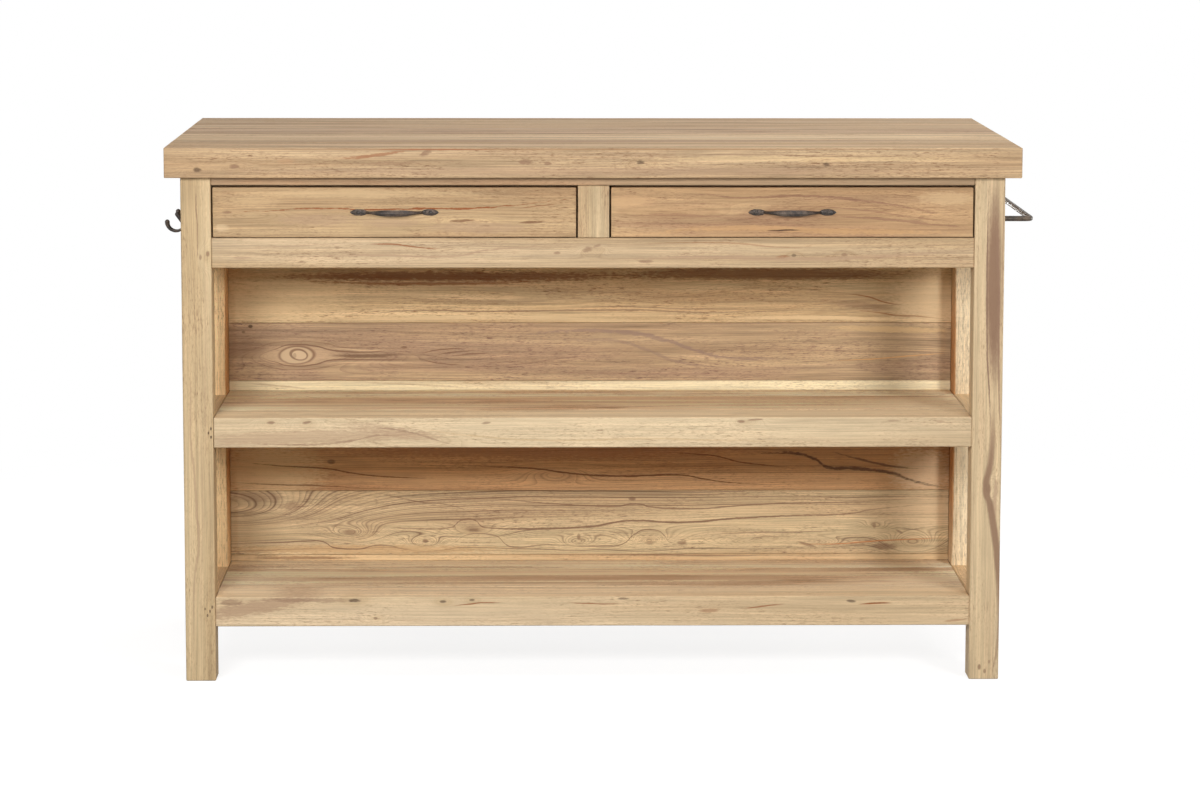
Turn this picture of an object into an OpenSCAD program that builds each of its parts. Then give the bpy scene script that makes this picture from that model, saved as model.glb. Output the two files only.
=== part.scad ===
// Kitchen island in pale reclaimed teak: two drawers, two open shelves round a centre divider,
// a towel rail on the right end and double hooks on the left end.
// +Z is up, the front with the drawers faces -Y, and the origin is on the floor
// at the centre of the four feet.

/* [Worktop] */
// Length of the worktop, end to end
top_w = 1400; // [1200:10:1800]
// Depth of the worktop, front to back
top_d = 700; // [680:10:900]
// Thickness of the worktop boards
top_t = 50; // [42:1:60]
// Width of the first worktop board, counted from the front
top_board_1_w = 168; // [140:1:180]
// Width of the second worktop board
top_board_2_w = 140; // [120:1:160]
// Width of the fourth worktop board; the third takes what is left of the depth
top_board_4_w = 172; // [140:1:180]
// Width of the fifth worktop board
top_board_5_w = 80; // [60:1:100]
// Overhang of the worktop past the legs at each end
top_overhang_x = 24; // [10:1:60]
// Overhang of the worktop past the legs at the front and the back
top_overhang_y = 25; // [10:1:40]

/* [Frame] */
// Height of the island from the floor to the top of the worktop
island_h = 890; // [850:5:960]
// Side of the square legs, and the thickness of the stock between them
leg_s = 50; // [46:1:60]
// Height of the thin rail over the drawers
top_rail_h = 14; // [12:1:20]
// Height of the drawer opening
drawer_opening_h = 86; // [76:1:110]
// Height of the rail under the drawers
drawer_rail_h = 50; // [44:1:60]
// Width of the stile between the drawers
stile_w = 52; // [44:1:70]
// Thickness of the aprons at the ends and at the back
apron_t = 28; // [26:1:32]
// Thickness of the tenons on the rails
tenon_t = 20; // [16:1:22]
// Step from a rail's edge in to its tenon
tenon_shoulder = 10; // [6:1:12]
// Wood left in a leg between two tenons that meet there
tenon_wall = 3; // [2:0.5:4]
// Thickness of the tenons on the aprons
apron_tenon_t = 14; // [10:1:16]
// Step from an apron's edge in to its tenon
apron_shoulder = 20; // [15:1:30]
// Width of the tongue that laps the top rail over the legs
lap_w = 30; // [24:1:34]
// Length of that tongue
lap_l = 25; // [15:1:30]
// Length of the tenons on the stile
stile_tenon_l = 8; // [5:1:10]

/* [Shelves] */
// Height of the middle shelf's surface above the floor
mid_shelf_z = 442; // [380:1:500]
// Height of the lower shelf's surface above the floor
low_shelf_z = 142; // [110:1:200]
// Height of the edge planks and side rails of the shelves
shelf_rail_h = 50; // [44:1:60]
// Visible depth of the edge planks, front and back
shelf_edge_d = 87; // [70:1:100]
// Width of the ledge that carries the shelf boards
shelf_ledge = 15; // [12:1:20]
// Thickness of the shelf boards
shelf_board_t = 20; // [16:1:25]
// Depth of the board in the middle of each shelf, under the divider
shelf_middle_w = 152; // [140:1:200]

/* [Divider] */
// Depth of the two posts that hold the divider, front to back
post_d = 120; // [100:1:140]
// Thickness of the divider boards
divider_t = 18; // [14:1:24]
// Height of the strip at the foot of the upper divider
upper_strip_h = 17; // [12:1:40]
// Height of the board above that strip
upper_board_h = 101; // [80:1:120]
// Height of the strip at the foot of the lower divider
lower_strip_h = 11; // [8:1:40]
// Height of the board above that strip
lower_board_h = 113; // [80:1:130]
// Depth of the groove in each post that holds the ends of the divider boards
divider_groove = 9; // [6:1:12]
// Length of the tenon under each post
post_tenon_l = 15; // [10:1:20]

/* [Drawers] */
// Thickness of the drawer fronts
front_t = 24; // [20:1:28]
// Gap at each side of a drawer front
front_gap_side = 2.5; // [1.5:0.5:4]
// Gap over a drawer front
front_gap_top = 3; // [2:0.5:5]
// Gap under a drawer front
front_gap_bottom = 1; // [0.5:0.5:3]
// Length of the drawer box behind its front
drawer_box_l = 520; // [400:5:540]
// Thickness of the drawer sides and back
drawer_side_t = 12; // [10:1:15]
// Height of the drawer sides
drawer_side_h = 66; // [56:1:70]
// Thickness of the drawer bottom
drawer_bottom_t = 6; // [4:0.5:8]
// Height of the drawer bottom above the lower edge of the sides
drawer_bottom_rise = 8; // [6:1:12]
// Depth of the grooves for the bottom and of the housings for the sides
drawer_groove = 6; // [4:1:7]
// Height of the runners under the drawers
runner_h = 30; // [24:1:36]
// Width of the runner surface under a drawer side
runner_w = 40; // [30:1:50]
// Height of the guides beside the drawers, above the runners
guide_h = 20; // [12:1:30]
// Length of the tenons on the runners
runner_tenon_l = 10; // [6:1:12]
// Width of the tenons on the runners
runner_tenon_w = 24; // [16:1:28]
// Height of the tenons on the runners
runner_tenon_h = 14; // [10:1:18]

/* [Handles] */
// Length of a handle, tip to tip
handle_l = 145; // [120:1:180]
// Length of the leaf-shaped plate at each end
leaf_l = 27; // [22:1:32]
// Height of that plate
leaf_h = 11; // [9:1:14]
// Thickness of that plate
leaf_t = 3; // [2:0.5:4]
// Height of the bow in the middle
bow_h = 11; // [8:0.5:14]
// Height of the bow at its necks, beside the plates
bow_neck_h = 5.5; // [4:0.25:7]
// Thickness of the bow from its back to the ridge along its front
bow_t = 5.5; // [4.5:0.25:8]
// Thickness of the bow along its upper and lower edges
bow_edge_t = 2.5; // [1.5:0.25:4]
// How far the bow stands out from the drawer front
handle_out = 24; // [20:1:40]

/* [Towel rail] */
// Diameter of the bent rod
rail_rod_d = 9.5; // [8:0.5:14]
// How far the rod stands out from the legs
rail_out = 58; // [45:1:90]
// Distance from each arm of the rod to the inner face of the leg beside it
rail_inset = 30; // [12:1:100]
// Distance from the underside of the worktop down to the middle of the rod
rail_drop = 76; // [60:1:100]
// Radius of the bends, at the middle of the rod
rail_bend_r = 9; // [7:1:20]

/* [Hooks] */
// Distance from each outer hook to the inner face of the leg beside it
hook_inset = 86; // [60:1:110]
// Distance from the underside of the worktop down to the middle of the hook's bend
hook_drop = 87; // [80:1:100]
// Diameter of the hook's rod
hook_rod_d = 5; // [4:0.5:7]
// Diameter of the ball at each end of the rod
hook_ball_d = 9; // [7:0.5:12]
// Radius of the lower prong's bend
hook_bend_r = 15; // [13:1:18]
// Distance from the leg faces to the ball of the upper prong
hook_upper_out = 18; // [14:1:24]
// Rise of that ball above the middle of the bend
hook_upper_rise = 13; // [8:1:20]
// Drop of the upper prong's root below the middle of the bend
hook_root_drop = 14; // [8:1:18]

/* [Wall plates and screws] */
// Width of the plates of the towel rail and the hooks
plate_w = 20; // [16:1:26]
// Height of those plates
plate_h = 62; // [56:1:70]
// Thickness of those plates
plate_t = 3; // [2:0.5:4]
// Distance of the plate screws from the middle of the plate
plate_screw_step = 24; // [20:1:26]
// Head diameter of the dome-head screws
dome_d = 6.5; // [5:0.5:9]
// Head height of the dome-head screws
dome_h = 2; // [1.5:0.25:3]
// Shank diameter of the dome-head screws
dome_shank_d = 3.5; // [3:0.25:4.5]
// Length of the dome-head screws under the head
dome_shank_l = 20; // [14:1:22]
// Head diameter of the countersunk worktop screws
fixing_head_d = 9; // [8:0.5:10]
// Shank diameter of the worktop screws
fixing_shank_d = 4.5; // [4:0.25:6]
// Length of the worktop screws
fixing_l = 44; // [34:1:48]
// Diameter of the deep holes for the worktop screws in the aprons
fixing_bore_d = 12; // [11:0.5:13]
// Distance of the outer worktop screws from the middle of the island
fixing_outer_x = 470; // [380:5:520]
// Distance of the inner worktop screws from the middle of the island
fixing_inner_x = 156; // [80:5:250]
// Distance of the worktop screws in the end aprons from half depth
fixing_side_y = 120; // [100:1:140]

/* [Clearances] */
// Clearance round tenons, laps and housings
joint_clear = 0.2; // [0.1:0.05:0.4]
// Free depth past the end of a tenon
tenon_end_clear = 1; // [0.5:0.25:2]
// Gap between the ends of a shelf or divider board and what holds them
board_end_clear = 0.5; // [0.25:0.25:2]
// Gap between the drawer sides and the runners
slide_clear = 0.3; // [0.2:0.1:0.6]
// Chamfer along the edges of the frame's stock
edge_c = 1.5; // [0.5:0.25:3]
// Chamfer along the edges of the worktop boards
top_edge_c = 1; // [0.5:0.25:3]

/* [Hidden] */

// Facets of round shapes
$fn = 64;
// How far a cutting shape reaches past the face that it opens
cut = 1;

PALE_TEAK = [0.83, 0.70, 0.50];
TAN_TEAK = [0.76, 0.60, 0.41];
BROWN_TEAK = [0.66, 0.50, 0.35];
DARK_IRON = [0.20, 0.18, 0.17];
SCREW_IRON = [0.30, 0.28, 0.26];

// Half sizes of the base, measured to the outer and inner faces of the legs
base_x = top_w / 2 - top_overhang_x;
base_y = top_d / 2 - top_overhang_y;
inner_x = base_x - leg_s;
inner_y = base_y - leg_s;

// Heights of the frame, from the worktop down
under_top_z = island_h - top_t;
opening_top_z = under_top_z - top_rail_h;
drawer_rail_top_z = opening_top_z - drawer_opening_h;
apron_z = drawer_rail_top_z - drawer_rail_h;
apron_h = under_top_z - apron_z;
runner_z = drawer_rail_top_z - runner_h;

// Tenons that meet in a leg stop short of each other
tenon_l = (leg_s - tenon_t) / 2 - tenon_wall;

// Depths on the shelves
shelf_rail_d = shelf_edge_d + shelf_ledge;
shelf_board_y = base_y - shelf_edge_d;
shelf_ledge_y = base_y - shelf_rail_d;

// The drawer openings and the boxes in them
opening_w = inner_x - stile_w / 2;
opening_x = (inner_x + stile_w / 2) / 2;
drawer_w = opening_w - 2 * front_gap_side;
front_h = drawer_opening_h - front_gap_top - front_gap_bottom;
front_z = drawer_rail_top_z + front_gap_bottom;
drawer_z = drawer_rail_top_z + slide_clear;
front_back_y = -base_y + front_t;
drawer_end_y = front_back_y + drawer_box_l;
drawer_bottom_z = drawer_z + drawer_bottom_rise;

// The handle's bow is one arc from plate to plate, whose ridge is at handle_out. Seen from the
// front it swells from its necks to the middle between two flat arcs.
handle_z = front_z + front_h / 2;
bow_half = handle_l / 2 - leaf_l + bow_t / 2;
bow_sag = handle_out - bow_t / 2;
bow_r = (bow_half * bow_half + bow_sag * bow_sag) / (2 * bow_sag);
bow_angle = asin(bow_half / bow_r);
bow_swell = (bow_h - bow_neck_h) / 2;
bow_edge_r = (bow_half * bow_half + bow_swell * bow_swell) / (2 * bow_swell);
handle_screw_x = handle_l / 2 - leaf_l / 2;

// Where the plates on the ends are fixed
rail_y = inner_y - rail_inset;
rail_z = under_top_z - rail_drop;
hook_y = inner_y - hook_inset;
hook_z = under_top_z - hook_drop;
rail_ys = [-rail_y, rail_y];
hook_ys = [-hook_y, 0, hook_y];

// Front edges of the worktop boards, and the back edge of the last
top_ys = [
    -top_d / 2,
    -top_d / 2 + top_board_1_w,
    -top_d / 2 + top_board_1_w + top_board_2_w,
    top_d / 2 - top_board_5_w - top_board_4_w,
    top_d / 2 - top_board_5_w,
    top_d / 2
];

// Middles of the worktop screws
fixing_front = [for (x = [-fixing_outer_x, -fixing_inner_x, fixing_inner_x, fixing_outer_x])
    [x, -base_y + leg_s / 2]];
fixing_rear = [for (x = [-fixing_outer_x, -fixing_inner_x, fixing_inner_x, fixing_outer_x])
    [x, base_y - apron_t / 2]];
fixing_side = [for (s = [-1, 1], y = [-fixing_side_y, fixing_side_y]) [s * (base_x - apron_t / 2), y]];

// A box between two corners
module block(x0, x1, y0, y1, z0, z1) {
    translate([x0, y0, z0]) cube([x1 - x0, y1 - y0, z1 - z0]);
}

// A rectangle with its corners cut off at 45 degrees, from the origin
module eased_rect(w, h, c) {
    polygon([[c, 0], [w - c, 0], [w, c], [w, h - c], [w - c, h], [c, h], [0, h - c], [0, c]]);
}

// Stock along X, Y or Z between two corners, with its long edges eased
module stock_x(x0, x1, y0, y1, z0, z1, c = edge_c) {
    translate([x0, y0, z0]) rotate([90, 0, 90]) linear_extrude(x1 - x0) eased_rect(y1 - y0, z1 - z0, c);
}

module stock_y(x0, x1, y0, y1, z0, z1, c = edge_c) {
    translate([x0, y1, z0]) rotate([90, 0, 0]) linear_extrude(y1 - y0) eased_rect(x1 - x0, z1 - z0, c);
}

module stock_z(x0, x1, y0, y1, z0, z1, c = edge_c) {
    translate([x0, y0, z0]) linear_extrude(z1 - z0) eased_rect(x1 - x0, y1 - y0, c);
}

// A tenon that points along +X from x0, or the mortise for it when grow is the clearance
module tenon_x(x0, y, z, l, t, h, grow = 0) {
    block(x0 - cut, x0 + l + (grow > 0 ? tenon_end_clear : 0),
          y - t / 2 - grow, y + t / 2 + grow, z - h / 2 - grow, z + h / 2 + grow);
}

// The same along +Y from y0
module tenon_y(x, y0, z, l, t, h, grow = 0) {
    block(x - t / 2 - grow, x + t / 2 + grow,
          y0 - cut, y0 + l + (grow > 0 ? tenon_end_clear : 0), z - h / 2 - grow, z + h / 2 + grow);
}

// What follows, once as it is and once mirrored to the other end
module both_ends() {
    children();
    mirror([1, 0, 0]) children();
}

module to_left(left) {
    mirror([left ? 1 : 0, 0, 0]) children();
}

module to_rear(rear) {
    mirror([0, rear ? 1 : 0, 0]) children();
}

// A countersunk screw that points up +Z from the flat of its head, or the hole for it
module fixing_screw(grow = 0) {
    r = fixing_shank_d / 2 + grow;
    head_r = fixing_head_d / 2 + grow;
    head_l = (fixing_head_d - fixing_shank_d) / 2;
    end = fixing_l + (grow > 0 ? tenon_end_clear : 0);
    tip_l = fixing_shank_d;
    rotate_extrude() polygon([
        [0, 0], [head_r, 0], [r, head_l], [r, end - tip_l], [grow > 0 ? r : r / 3, end], [0, end]
    ]);
}

// A dome-head screw that points down -Z from the underside of its head
module dome_screw() {
    sphere_r = (dome_d * dome_d / 4 + dome_h * dome_h) / (2 * dome_h);
    rotate_extrude() {
        intersection() {
            translate([0, dome_h - sphere_r]) circle(sphere_r);
            square([dome_d / 2, dome_h]);
        }
    }
    translate([0, 0, -dome_shank_l]) cylinder(h = dome_shank_l + dome_h / 2, d = dome_shank_d);
}

// The hole for its shank, with the clearance, through plates and into wood
module dome_hole() {
    translate([0, 0, -dome_shank_l - tenon_end_clear]) {
        cylinder(h = dome_shank_l + tenon_end_clear + plate_t + leaf_t, d = dome_shank_d + 2 * joint_clear);
    }
}

module top_board(index) {
    color(index % 2 == 0 ? PALE_TEAK : TAN_TEAK)
    difference() {
        stock_x(-top_w / 2, top_w / 2, top_ys[index], top_ys[index + 1], under_top_z, island_h, top_edge_c);
        for (p = concat(fixing_front, fixing_rear, fixing_side)) {
            if (p[1] > top_ys[index] - fixing_head_d && p[1] < top_ys[index + 1] + fixing_head_d) {
                translate([p[0], p[1], opening_top_z]) fixing_screw(joint_clear);
            }
        }
    }
}

// The mortises that a shelf rail and a side rail of one shelf need in a leg at the right front
module shelf_mortises(shelf_z) {
    z = shelf_z - shelf_rail_h / 2;
    tenon_h = shelf_rail_h - 2 * tenon_shoulder;
    tenon_x(inner_x, -base_y + leg_s / 2, z, tenon_l, tenon_t, tenon_h, joint_clear);
    mirror([0, 1, 0]) tenon_y(base_x - leg_s / 2, inner_y, z, tenon_l, tenon_t, tenon_h, joint_clear);
}

module leg(left, rear) {
    color(PALE_TEAK)
    to_left(left) to_rear(rear)
    difference() {
        stock_z(inner_x, base_x, -base_y, -inner_y, 0, under_top_z);
        shelf_mortises(mid_shelf_z);
        shelf_mortises(low_shelf_z);
        // Mortise for the end apron
        mirror([0, 1, 0])
            tenon_y(base_x - apron_t / 2, inner_y, apron_z + apron_h / 2, tenon_l, apron_tenon_t,
                    apron_h - 2 * apron_shoulder, joint_clear);
        if (rear) {
            tenon_x(inner_x, -base_y + apron_t / 2, apron_z + apron_h / 2, tenon_l, apron_tenon_t,
                    apron_h - 2 * apron_shoulder, joint_clear);
        } else {
            tenon_x(inner_x, -base_y + leg_s / 2, apron_z + drawer_rail_h / 2, tenon_l, tenon_t,
                    drawer_rail_h - 2 * tenon_shoulder, joint_clear);
            // Open notch for the tongue of the top rail
            block(inner_x - cut, inner_x + lap_l + tenon_end_clear,
                  -base_y + (leg_s - lap_w) / 2 - joint_clear, -base_y + (leg_s + lap_w) / 2 + joint_clear,
                  opening_top_z - joint_clear, under_top_z + cut);
        }
    }
}

module front_top_rail() {
    color(PALE_TEAK)
    difference() {
        union() {
            stock_x(-inner_x, inner_x, -base_y, -inner_y, opening_top_z, under_top_z, top_edge_c);
            both_ends()
                block(inner_x - cut, inner_x + lap_l, -base_y + (leg_s - lap_w) / 2,
                      -base_y + (leg_s + lap_w) / 2, opening_top_z, under_top_z);
        }
        for (p = fixing_front) {
            translate([p[0], p[1], opening_top_z]) fixing_screw(joint_clear);
        }
        stile_tenon(opening_top_z, joint_clear);
    }
}

// The stile's tenon above the height z, or its mortise
module stile_tenon(z, grow = 0) {
    block(-stile_w / 2 + tenon_shoulder - grow, stile_w / 2 - tenon_shoulder + grow,
          -base_y + (leg_s - tenon_t) / 2 - grow, -base_y + (leg_s + tenon_t) / 2 + grow,
          z - cut, z + stile_tenon_l + (grow > 0 ? tenon_end_clear : 0));
}

module drawer_stile() {
    color(PALE_TEAK) {
        stock_z(-stile_w / 2, stile_w / 2, -base_y, -inner_y, drawer_rail_top_z, opening_top_z);
        stile_tenon(opening_top_z);
        translate([0, 0, 2 * drawer_rail_top_z]) mirror([0, 0, 1]) stile_tenon(drawer_rail_top_z);
    }
}

// The tenons at the front or the back ends of the three runners, or their mortises
module runner_tenons(y0, grow = 0) {
    z = runner_z + runner_h / 2;
    for (x = [-inner_x + runner_w / 2, 0, inner_x - runner_w / 2]) {
        tenon_y(x, y0, z, runner_tenon_l, runner_tenon_w, runner_tenon_h, grow);
    }
}

module drawer_rail() {
    color(PALE_TEAK)
    difference() {
        union() {
            stock_x(-inner_x, inner_x, -base_y, -inner_y, apron_z, drawer_rail_top_z);
            both_ends()
                tenon_x(inner_x, -base_y + leg_s / 2, apron_z + drawer_rail_h / 2, tenon_l, tenon_t,
                        drawer_rail_h - 2 * tenon_shoulder);
        }
        mirror([0, 1, 0]) runner_tenons(inner_y, joint_clear);
        translate([0, 0, 2 * drawer_rail_top_z]) mirror([0, 0, 1])
            stile_tenon(drawer_rail_top_z, joint_clear);
    }
}

// A worktop screw's way up through an apron: the deep hole from below and the screw's own hole
module apron_screw_way(p) {
    translate([p[0], p[1], apron_z - cut]) cylinder(h = opening_top_z - apron_z + cut, d = fixing_bore_d);
    translate([p[0], p[1], opening_top_z]) fixing_screw(joint_clear);
}

module rear_apron() {
    color(TAN_TEAK)
    difference() {
        union() {
            stock_x(-inner_x, inner_x, base_y - apron_t, base_y, apron_z, under_top_z);
            both_ends()
                tenon_x(inner_x, base_y - apron_t / 2, apron_z + apron_h / 2, tenon_l, apron_tenon_t,
                        apron_h - 2 * apron_shoulder);
        }
        for (p = fixing_rear) {
            apron_screw_way(p);
        }
        runner_tenons(base_y - apron_t, joint_clear);
    }
}

// Turns a screw or its hole from +Z to +X, at a place on the outer face of the right end
module on_end_face(out, y, z) {
    translate([base_x + out, y, z]) rotate([0, 90, 0]) children();
}

// The two screws of a plate, or their holes
module at_plate_screws(ys, z) {
    for (y = ys, step = [-plate_screw_step, plate_screw_step]) {
        on_end_face(plate_t, y, z + step) children();
    }
}

module side_apron(left) {
    color(TAN_TEAK)
    to_left(left)
    difference() {
        union() {
            stock_y(base_x - apron_t, base_x, -inner_y, inner_y, apron_z, under_top_z);
            for (rear = [false, true]) {
                to_rear(rear)
                    tenon_y(base_x - apron_t / 2, inner_y, apron_z + apron_h / 2, tenon_l, apron_tenon_t,
                            apron_h - 2 * apron_shoulder);
            }
        }
        for (y = [-fixing_side_y, fixing_side_y]) {
            apron_screw_way([base_x - apron_t / 2, y]);
        }
        if (left) {
            at_plate_screws(hook_ys, hook_z) dome_hole();
        } else {
            at_plate_screws(rail_ys, rail_z) dome_hole();
        }
    }
}

// Front edge plank of a shelf, with the ledge for the boards along its inner edge
module shelf_rail(shelf_z, rear) {
    color(PALE_TEAK)
    to_rear(rear)
    difference() {
        union() {
            stock_x(-inner_x, inner_x, -base_y, -shelf_ledge_y, shelf_z - shelf_rail_h, shelf_z);
            both_ends()
                tenon_x(inner_x, -base_y + leg_s / 2, shelf_z - shelf_rail_h / 2, tenon_l, tenon_t,
                        shelf_rail_h - 2 * tenon_shoulder);
        }
        block(-inner_x - cut, inner_x + cut, -shelf_board_y, -shelf_ledge_y + cut,
              shelf_z - shelf_board_t, shelf_z + cut);
    }
}

// Side rail of a shelf at the right end; the middle shelf's is halved where the post passes
module side_rail(shelf_z, left, halved) {
    color(TAN_TEAK)
    to_left(left)
    difference() {
        union() {
            stock_y(inner_x, base_x, -inner_y, inner_y, shelf_z - shelf_rail_h, shelf_z);
            for (rear = [false, true]) {
                to_rear(rear)
                    tenon_y(base_x - leg_s / 2, inner_y, shelf_z - shelf_rail_h / 2, tenon_l, tenon_t,
                            shelf_rail_h - 2 * tenon_shoulder);
            }
            // Ledge for the ends of the shelf boards
            block(inner_x - shelf_ledge, inner_x + cut, -shelf_ledge_y, shelf_ledge_y,
                  shelf_z - shelf_rail_h + edge_c, shelf_z - shelf_board_t);
        }
        if (halved) {
            // The post takes the inner half, and the ledge stops at both sides of it
            block(inner_x - shelf_ledge - cut, inner_x + leg_s / 2 + joint_clear,
                  -post_d / 2 - joint_clear, post_d / 2 + joint_clear,
                  shelf_z - shelf_rail_h - cut, shelf_z + cut);
        } else {
            post_tenon(joint_clear);
        }
    }
}

// The tenon under the right post, or its mortise in the lower side rail
module post_tenon(grow = 0) {
    block(base_x - (leg_s + tenon_t) / 2 - grow, base_x - (leg_s - tenon_t) / 2 + grow,
          -post_d / 2 + apron_shoulder - grow, post_d / 2 - apron_shoulder + grow,
          low_shelf_z - post_tenon_l - (grow > 0 ? tenon_end_clear : 0), low_shelf_z + cut);
}

module divider_post(left) {
    color(BROWN_TEAK)
    to_left(left)
    difference() {
        union() {
            stock_z(inner_x, base_x, -post_d / 2, post_d / 2, low_shelf_z, apron_z);
            post_tenon();
            // Tongue behind the end apron, up to the runner
            block(inner_x, base_x - apron_t - joint_clear, -post_d / 2 + edge_c, post_d / 2 - edge_c,
                  apron_z - cut, runner_z);
        }
        // Outer half cut away where the middle side rail passes
        block(inner_x + leg_s / 2 - joint_clear, base_x + cut, -post_d / 2 - cut, post_d / 2 + cut,
              mid_shelf_z - shelf_rail_h - joint_clear, mid_shelf_z + joint_clear);
        block(inner_x - cut, inner_x + divider_groove, -divider_t / 2 - joint_clear,
              divider_t / 2 + joint_clear, low_shelf_z - cut, runner_z + cut);
    }
}

// One shelf board between the depths y0 and y1
module shelf_board(shelf_z, y0, y1, tone) {
    color(tone)
    stock_x(-inner_x + board_end_clear, inner_x - board_end_clear, y0, y1,
            shelf_z - shelf_board_t, shelf_z, top_edge_c);
}

module front_shelf_board(shelf_z, rear) {
    to_rear(rear) shelf_board(shelf_z, -shelf_board_y, -shelf_middle_w / 2, TAN_TEAK);
}

module middle_shelf_board(shelf_z) {
    shelf_board(shelf_z, -shelf_middle_w / 2, shelf_middle_w / 2, BROWN_TEAK);
}

// One divider board between the heights z0 and z1, its ends in the grooves of the posts
module divider_board(z0, z1, tone) {
    half_l = inner_x + divider_groove - board_end_clear;
    color(tone)
    stock_x(-half_l, half_l, -divider_t / 2, divider_t / 2, z0, z1, top_edge_c);
}

// Runner and guide at the right end; the guide's inner face is in line with the legs
module side_runner(left) {
    color(TAN_TEAK)
    to_left(left) {
        block(inner_x - runner_w, inner_x, -inner_y, base_y - apron_t, runner_z, drawer_rail_top_z);
        block(inner_x - cut, base_x - apron_t, -inner_y, inner_y, runner_z, drawer_rail_top_z);
        block(inner_x, base_x - apron_t, -inner_y, inner_y,
              drawer_rail_top_z - cut, drawer_rail_top_z + guide_h);
        tenon_y(inner_x - runner_w / 2, base_y - apron_t, runner_z + runner_h / 2, runner_tenon_l,
                runner_tenon_w, runner_tenon_h);
        mirror([0, 1, 0])
            tenon_y(inner_x - runner_w / 2, inner_y, runner_z + runner_h / 2, runner_tenon_l,
                    runner_tenon_w, runner_tenon_h);
    }
}

// Runner under the inner sides of both drawers, with one guide between them
module center_runner() {
    color(TAN_TEAK) {
        block(-stile_w / 2 - runner_w, stile_w / 2 + runner_w, -inner_y, base_y - apron_t,
              runner_z, drawer_rail_top_z);
        block(-stile_w / 2, stile_w / 2, -inner_y, base_y - apron_t,
              drawer_rail_top_z - cut, drawer_rail_top_z + guide_h);
        tenon_y(0, base_y - apron_t, runner_z + runner_h / 2, runner_tenon_l,
                runner_tenon_w, runner_tenon_h);
        mirror([0, 1, 0])
            tenon_y(0, inner_y, runner_z + runner_h / 2, runner_tenon_l,
                    runner_tenon_w, runner_tenon_h);
    }
}

// Places what follows in the left or the right drawer, whose middle is at x = 0 and inner side at -X
module in_drawer(left) {
    to_left(left) translate([opening_x, 0, 0]) children();
}

// The two screws of a handle, or their holes, on the drawer front's face
module at_handle_screws() {
    for (x = [-handle_screw_x, handle_screw_x]) {
        translate([x, -base_y - leaf_t, handle_z]) rotate([90, 0, 0]) children();
    }
}

module drawer_front(left) {
    color(TAN_TEAK)
    in_drawer(left)
    difference() {
        stock_x(-drawer_w / 2, drawer_w / 2, -base_y, front_back_y, front_z, front_z + front_h);
        // Housings for the two sides
        for (x = [-drawer_w / 2, drawer_w / 2 - drawer_side_t - joint_clear]) {
            block(x - (x < 0 ? cut : 0), x + drawer_side_t + joint_clear + (x < 0 ? 0 : cut),
                  front_back_y - drawer_groove - joint_clear, front_back_y + cut,
                  front_z - cut, drawer_z + drawer_side_h + joint_clear);
        }
        // Groove for the bottom
        block(-drawer_w / 2 + drawer_side_t - cut, drawer_w / 2 - drawer_side_t + cut,
              front_back_y - drawer_groove, front_back_y + cut,
              drawer_bottom_z - joint_clear, drawer_bottom_z + drawer_bottom_t + joint_clear);
        at_handle_screws() dome_hole();
    }
}

// A drawer side; the outer one is beside the leg, the inner one beside the stile
module drawer_side(left, outer) {
    color(PALE_TEAK)
    in_drawer(left)
    mirror([outer ? 0 : 1, 0, 0])
    difference() {
        block(drawer_w / 2 - drawer_side_t, drawer_w / 2, front_back_y - drawer_groove, drawer_end_y,
              drawer_z, drawer_z + drawer_side_h);
        block(drawer_w / 2 - drawer_side_t - cut, drawer_w / 2 - drawer_side_t + drawer_groove,
              front_back_y - drawer_groove - cut, drawer_end_y + cut,
              drawer_bottom_z - joint_clear, drawer_bottom_z + drawer_bottom_t + joint_clear);
    }
}

module drawer_back(left) {
    color(PALE_TEAK)
    in_drawer(left)
    block(-drawer_w / 2 + drawer_side_t, drawer_w / 2 - drawer_side_t, drawer_end_y - drawer_side_t,
          drawer_end_y, drawer_bottom_z + drawer_bottom_t, drawer_z + drawer_side_h);
}

module drawer_bottom(left) {
    half_w = drawer_w / 2 - drawer_side_t + drawer_groove - board_end_clear;
    color(TAN_TEAK)
    in_drawer(left)
    block(-half_w, half_w, front_back_y - drawer_groove + board_end_clear, drawer_end_y,
          drawer_bottom_z, drawer_bottom_z + drawer_bottom_t);
}

// Outline between two arcs that meet along X, of a given height in the middle
module between_arcs(h, r) {
    intersection() {
        translate([0, h / 2 - r]) circle(r, $fn = 96);
        translate([0, r - h / 2]) circle(r, $fn = 96);
    }
}

// A leaf-shaped plate with pointed ends
module leaf_plate() {
    linear_extrude(leaf_t) between_arcs(leaf_h, (leaf_l * leaf_l + leaf_h * leaf_h) / (4 * leaf_h));
}

// The bow: a strap with a ridge along its front, bent to one arc and forged wider in the middle
module bow() {
    intersection() {
        translate([0, -base_y - bow_sag + bow_r, handle_z])
            rotate([0, 0, -90 - bow_angle])
            rotate_extrude(angle = 2 * bow_angle, $fn = 96)
            translate([bow_r - bow_t / 2, 0])
            polygon([[0, -bow_h / 2], [bow_edge_t, -bow_h / 2], [bow_t, 0], [bow_edge_t, bow_h / 2],
                     [0, bow_h / 2]]);
        translate([0, -base_y + bow_t, handle_z]) rotate([90, 0, 0])
            linear_extrude(handle_out + 2 * bow_t) between_arcs(bow_h, bow_edge_r);
    }
}

module handle(left) {
    color(DARK_IRON)
    in_drawer(left)
    difference() {
        union() {
            for (s = [-1, 1]) {
                translate([s * (handle_l - leaf_l) / 2, -base_y, handle_z])
                    rotate([90, 0, 0]) leaf_plate();
            }
            bow();
        }
        // The bow's ends stop at the face of the drawer front
        block(-handle_l, handle_l, -base_y, -base_y + 2 * bow_t, handle_z - bow_h, handle_z + bow_h);
        at_handle_screws() dome_hole();
    }
}

module handle_screws(left) {
    color(SCREW_IRON)
    in_drawer(left) at_handle_screws() dome_screw();
}

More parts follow.
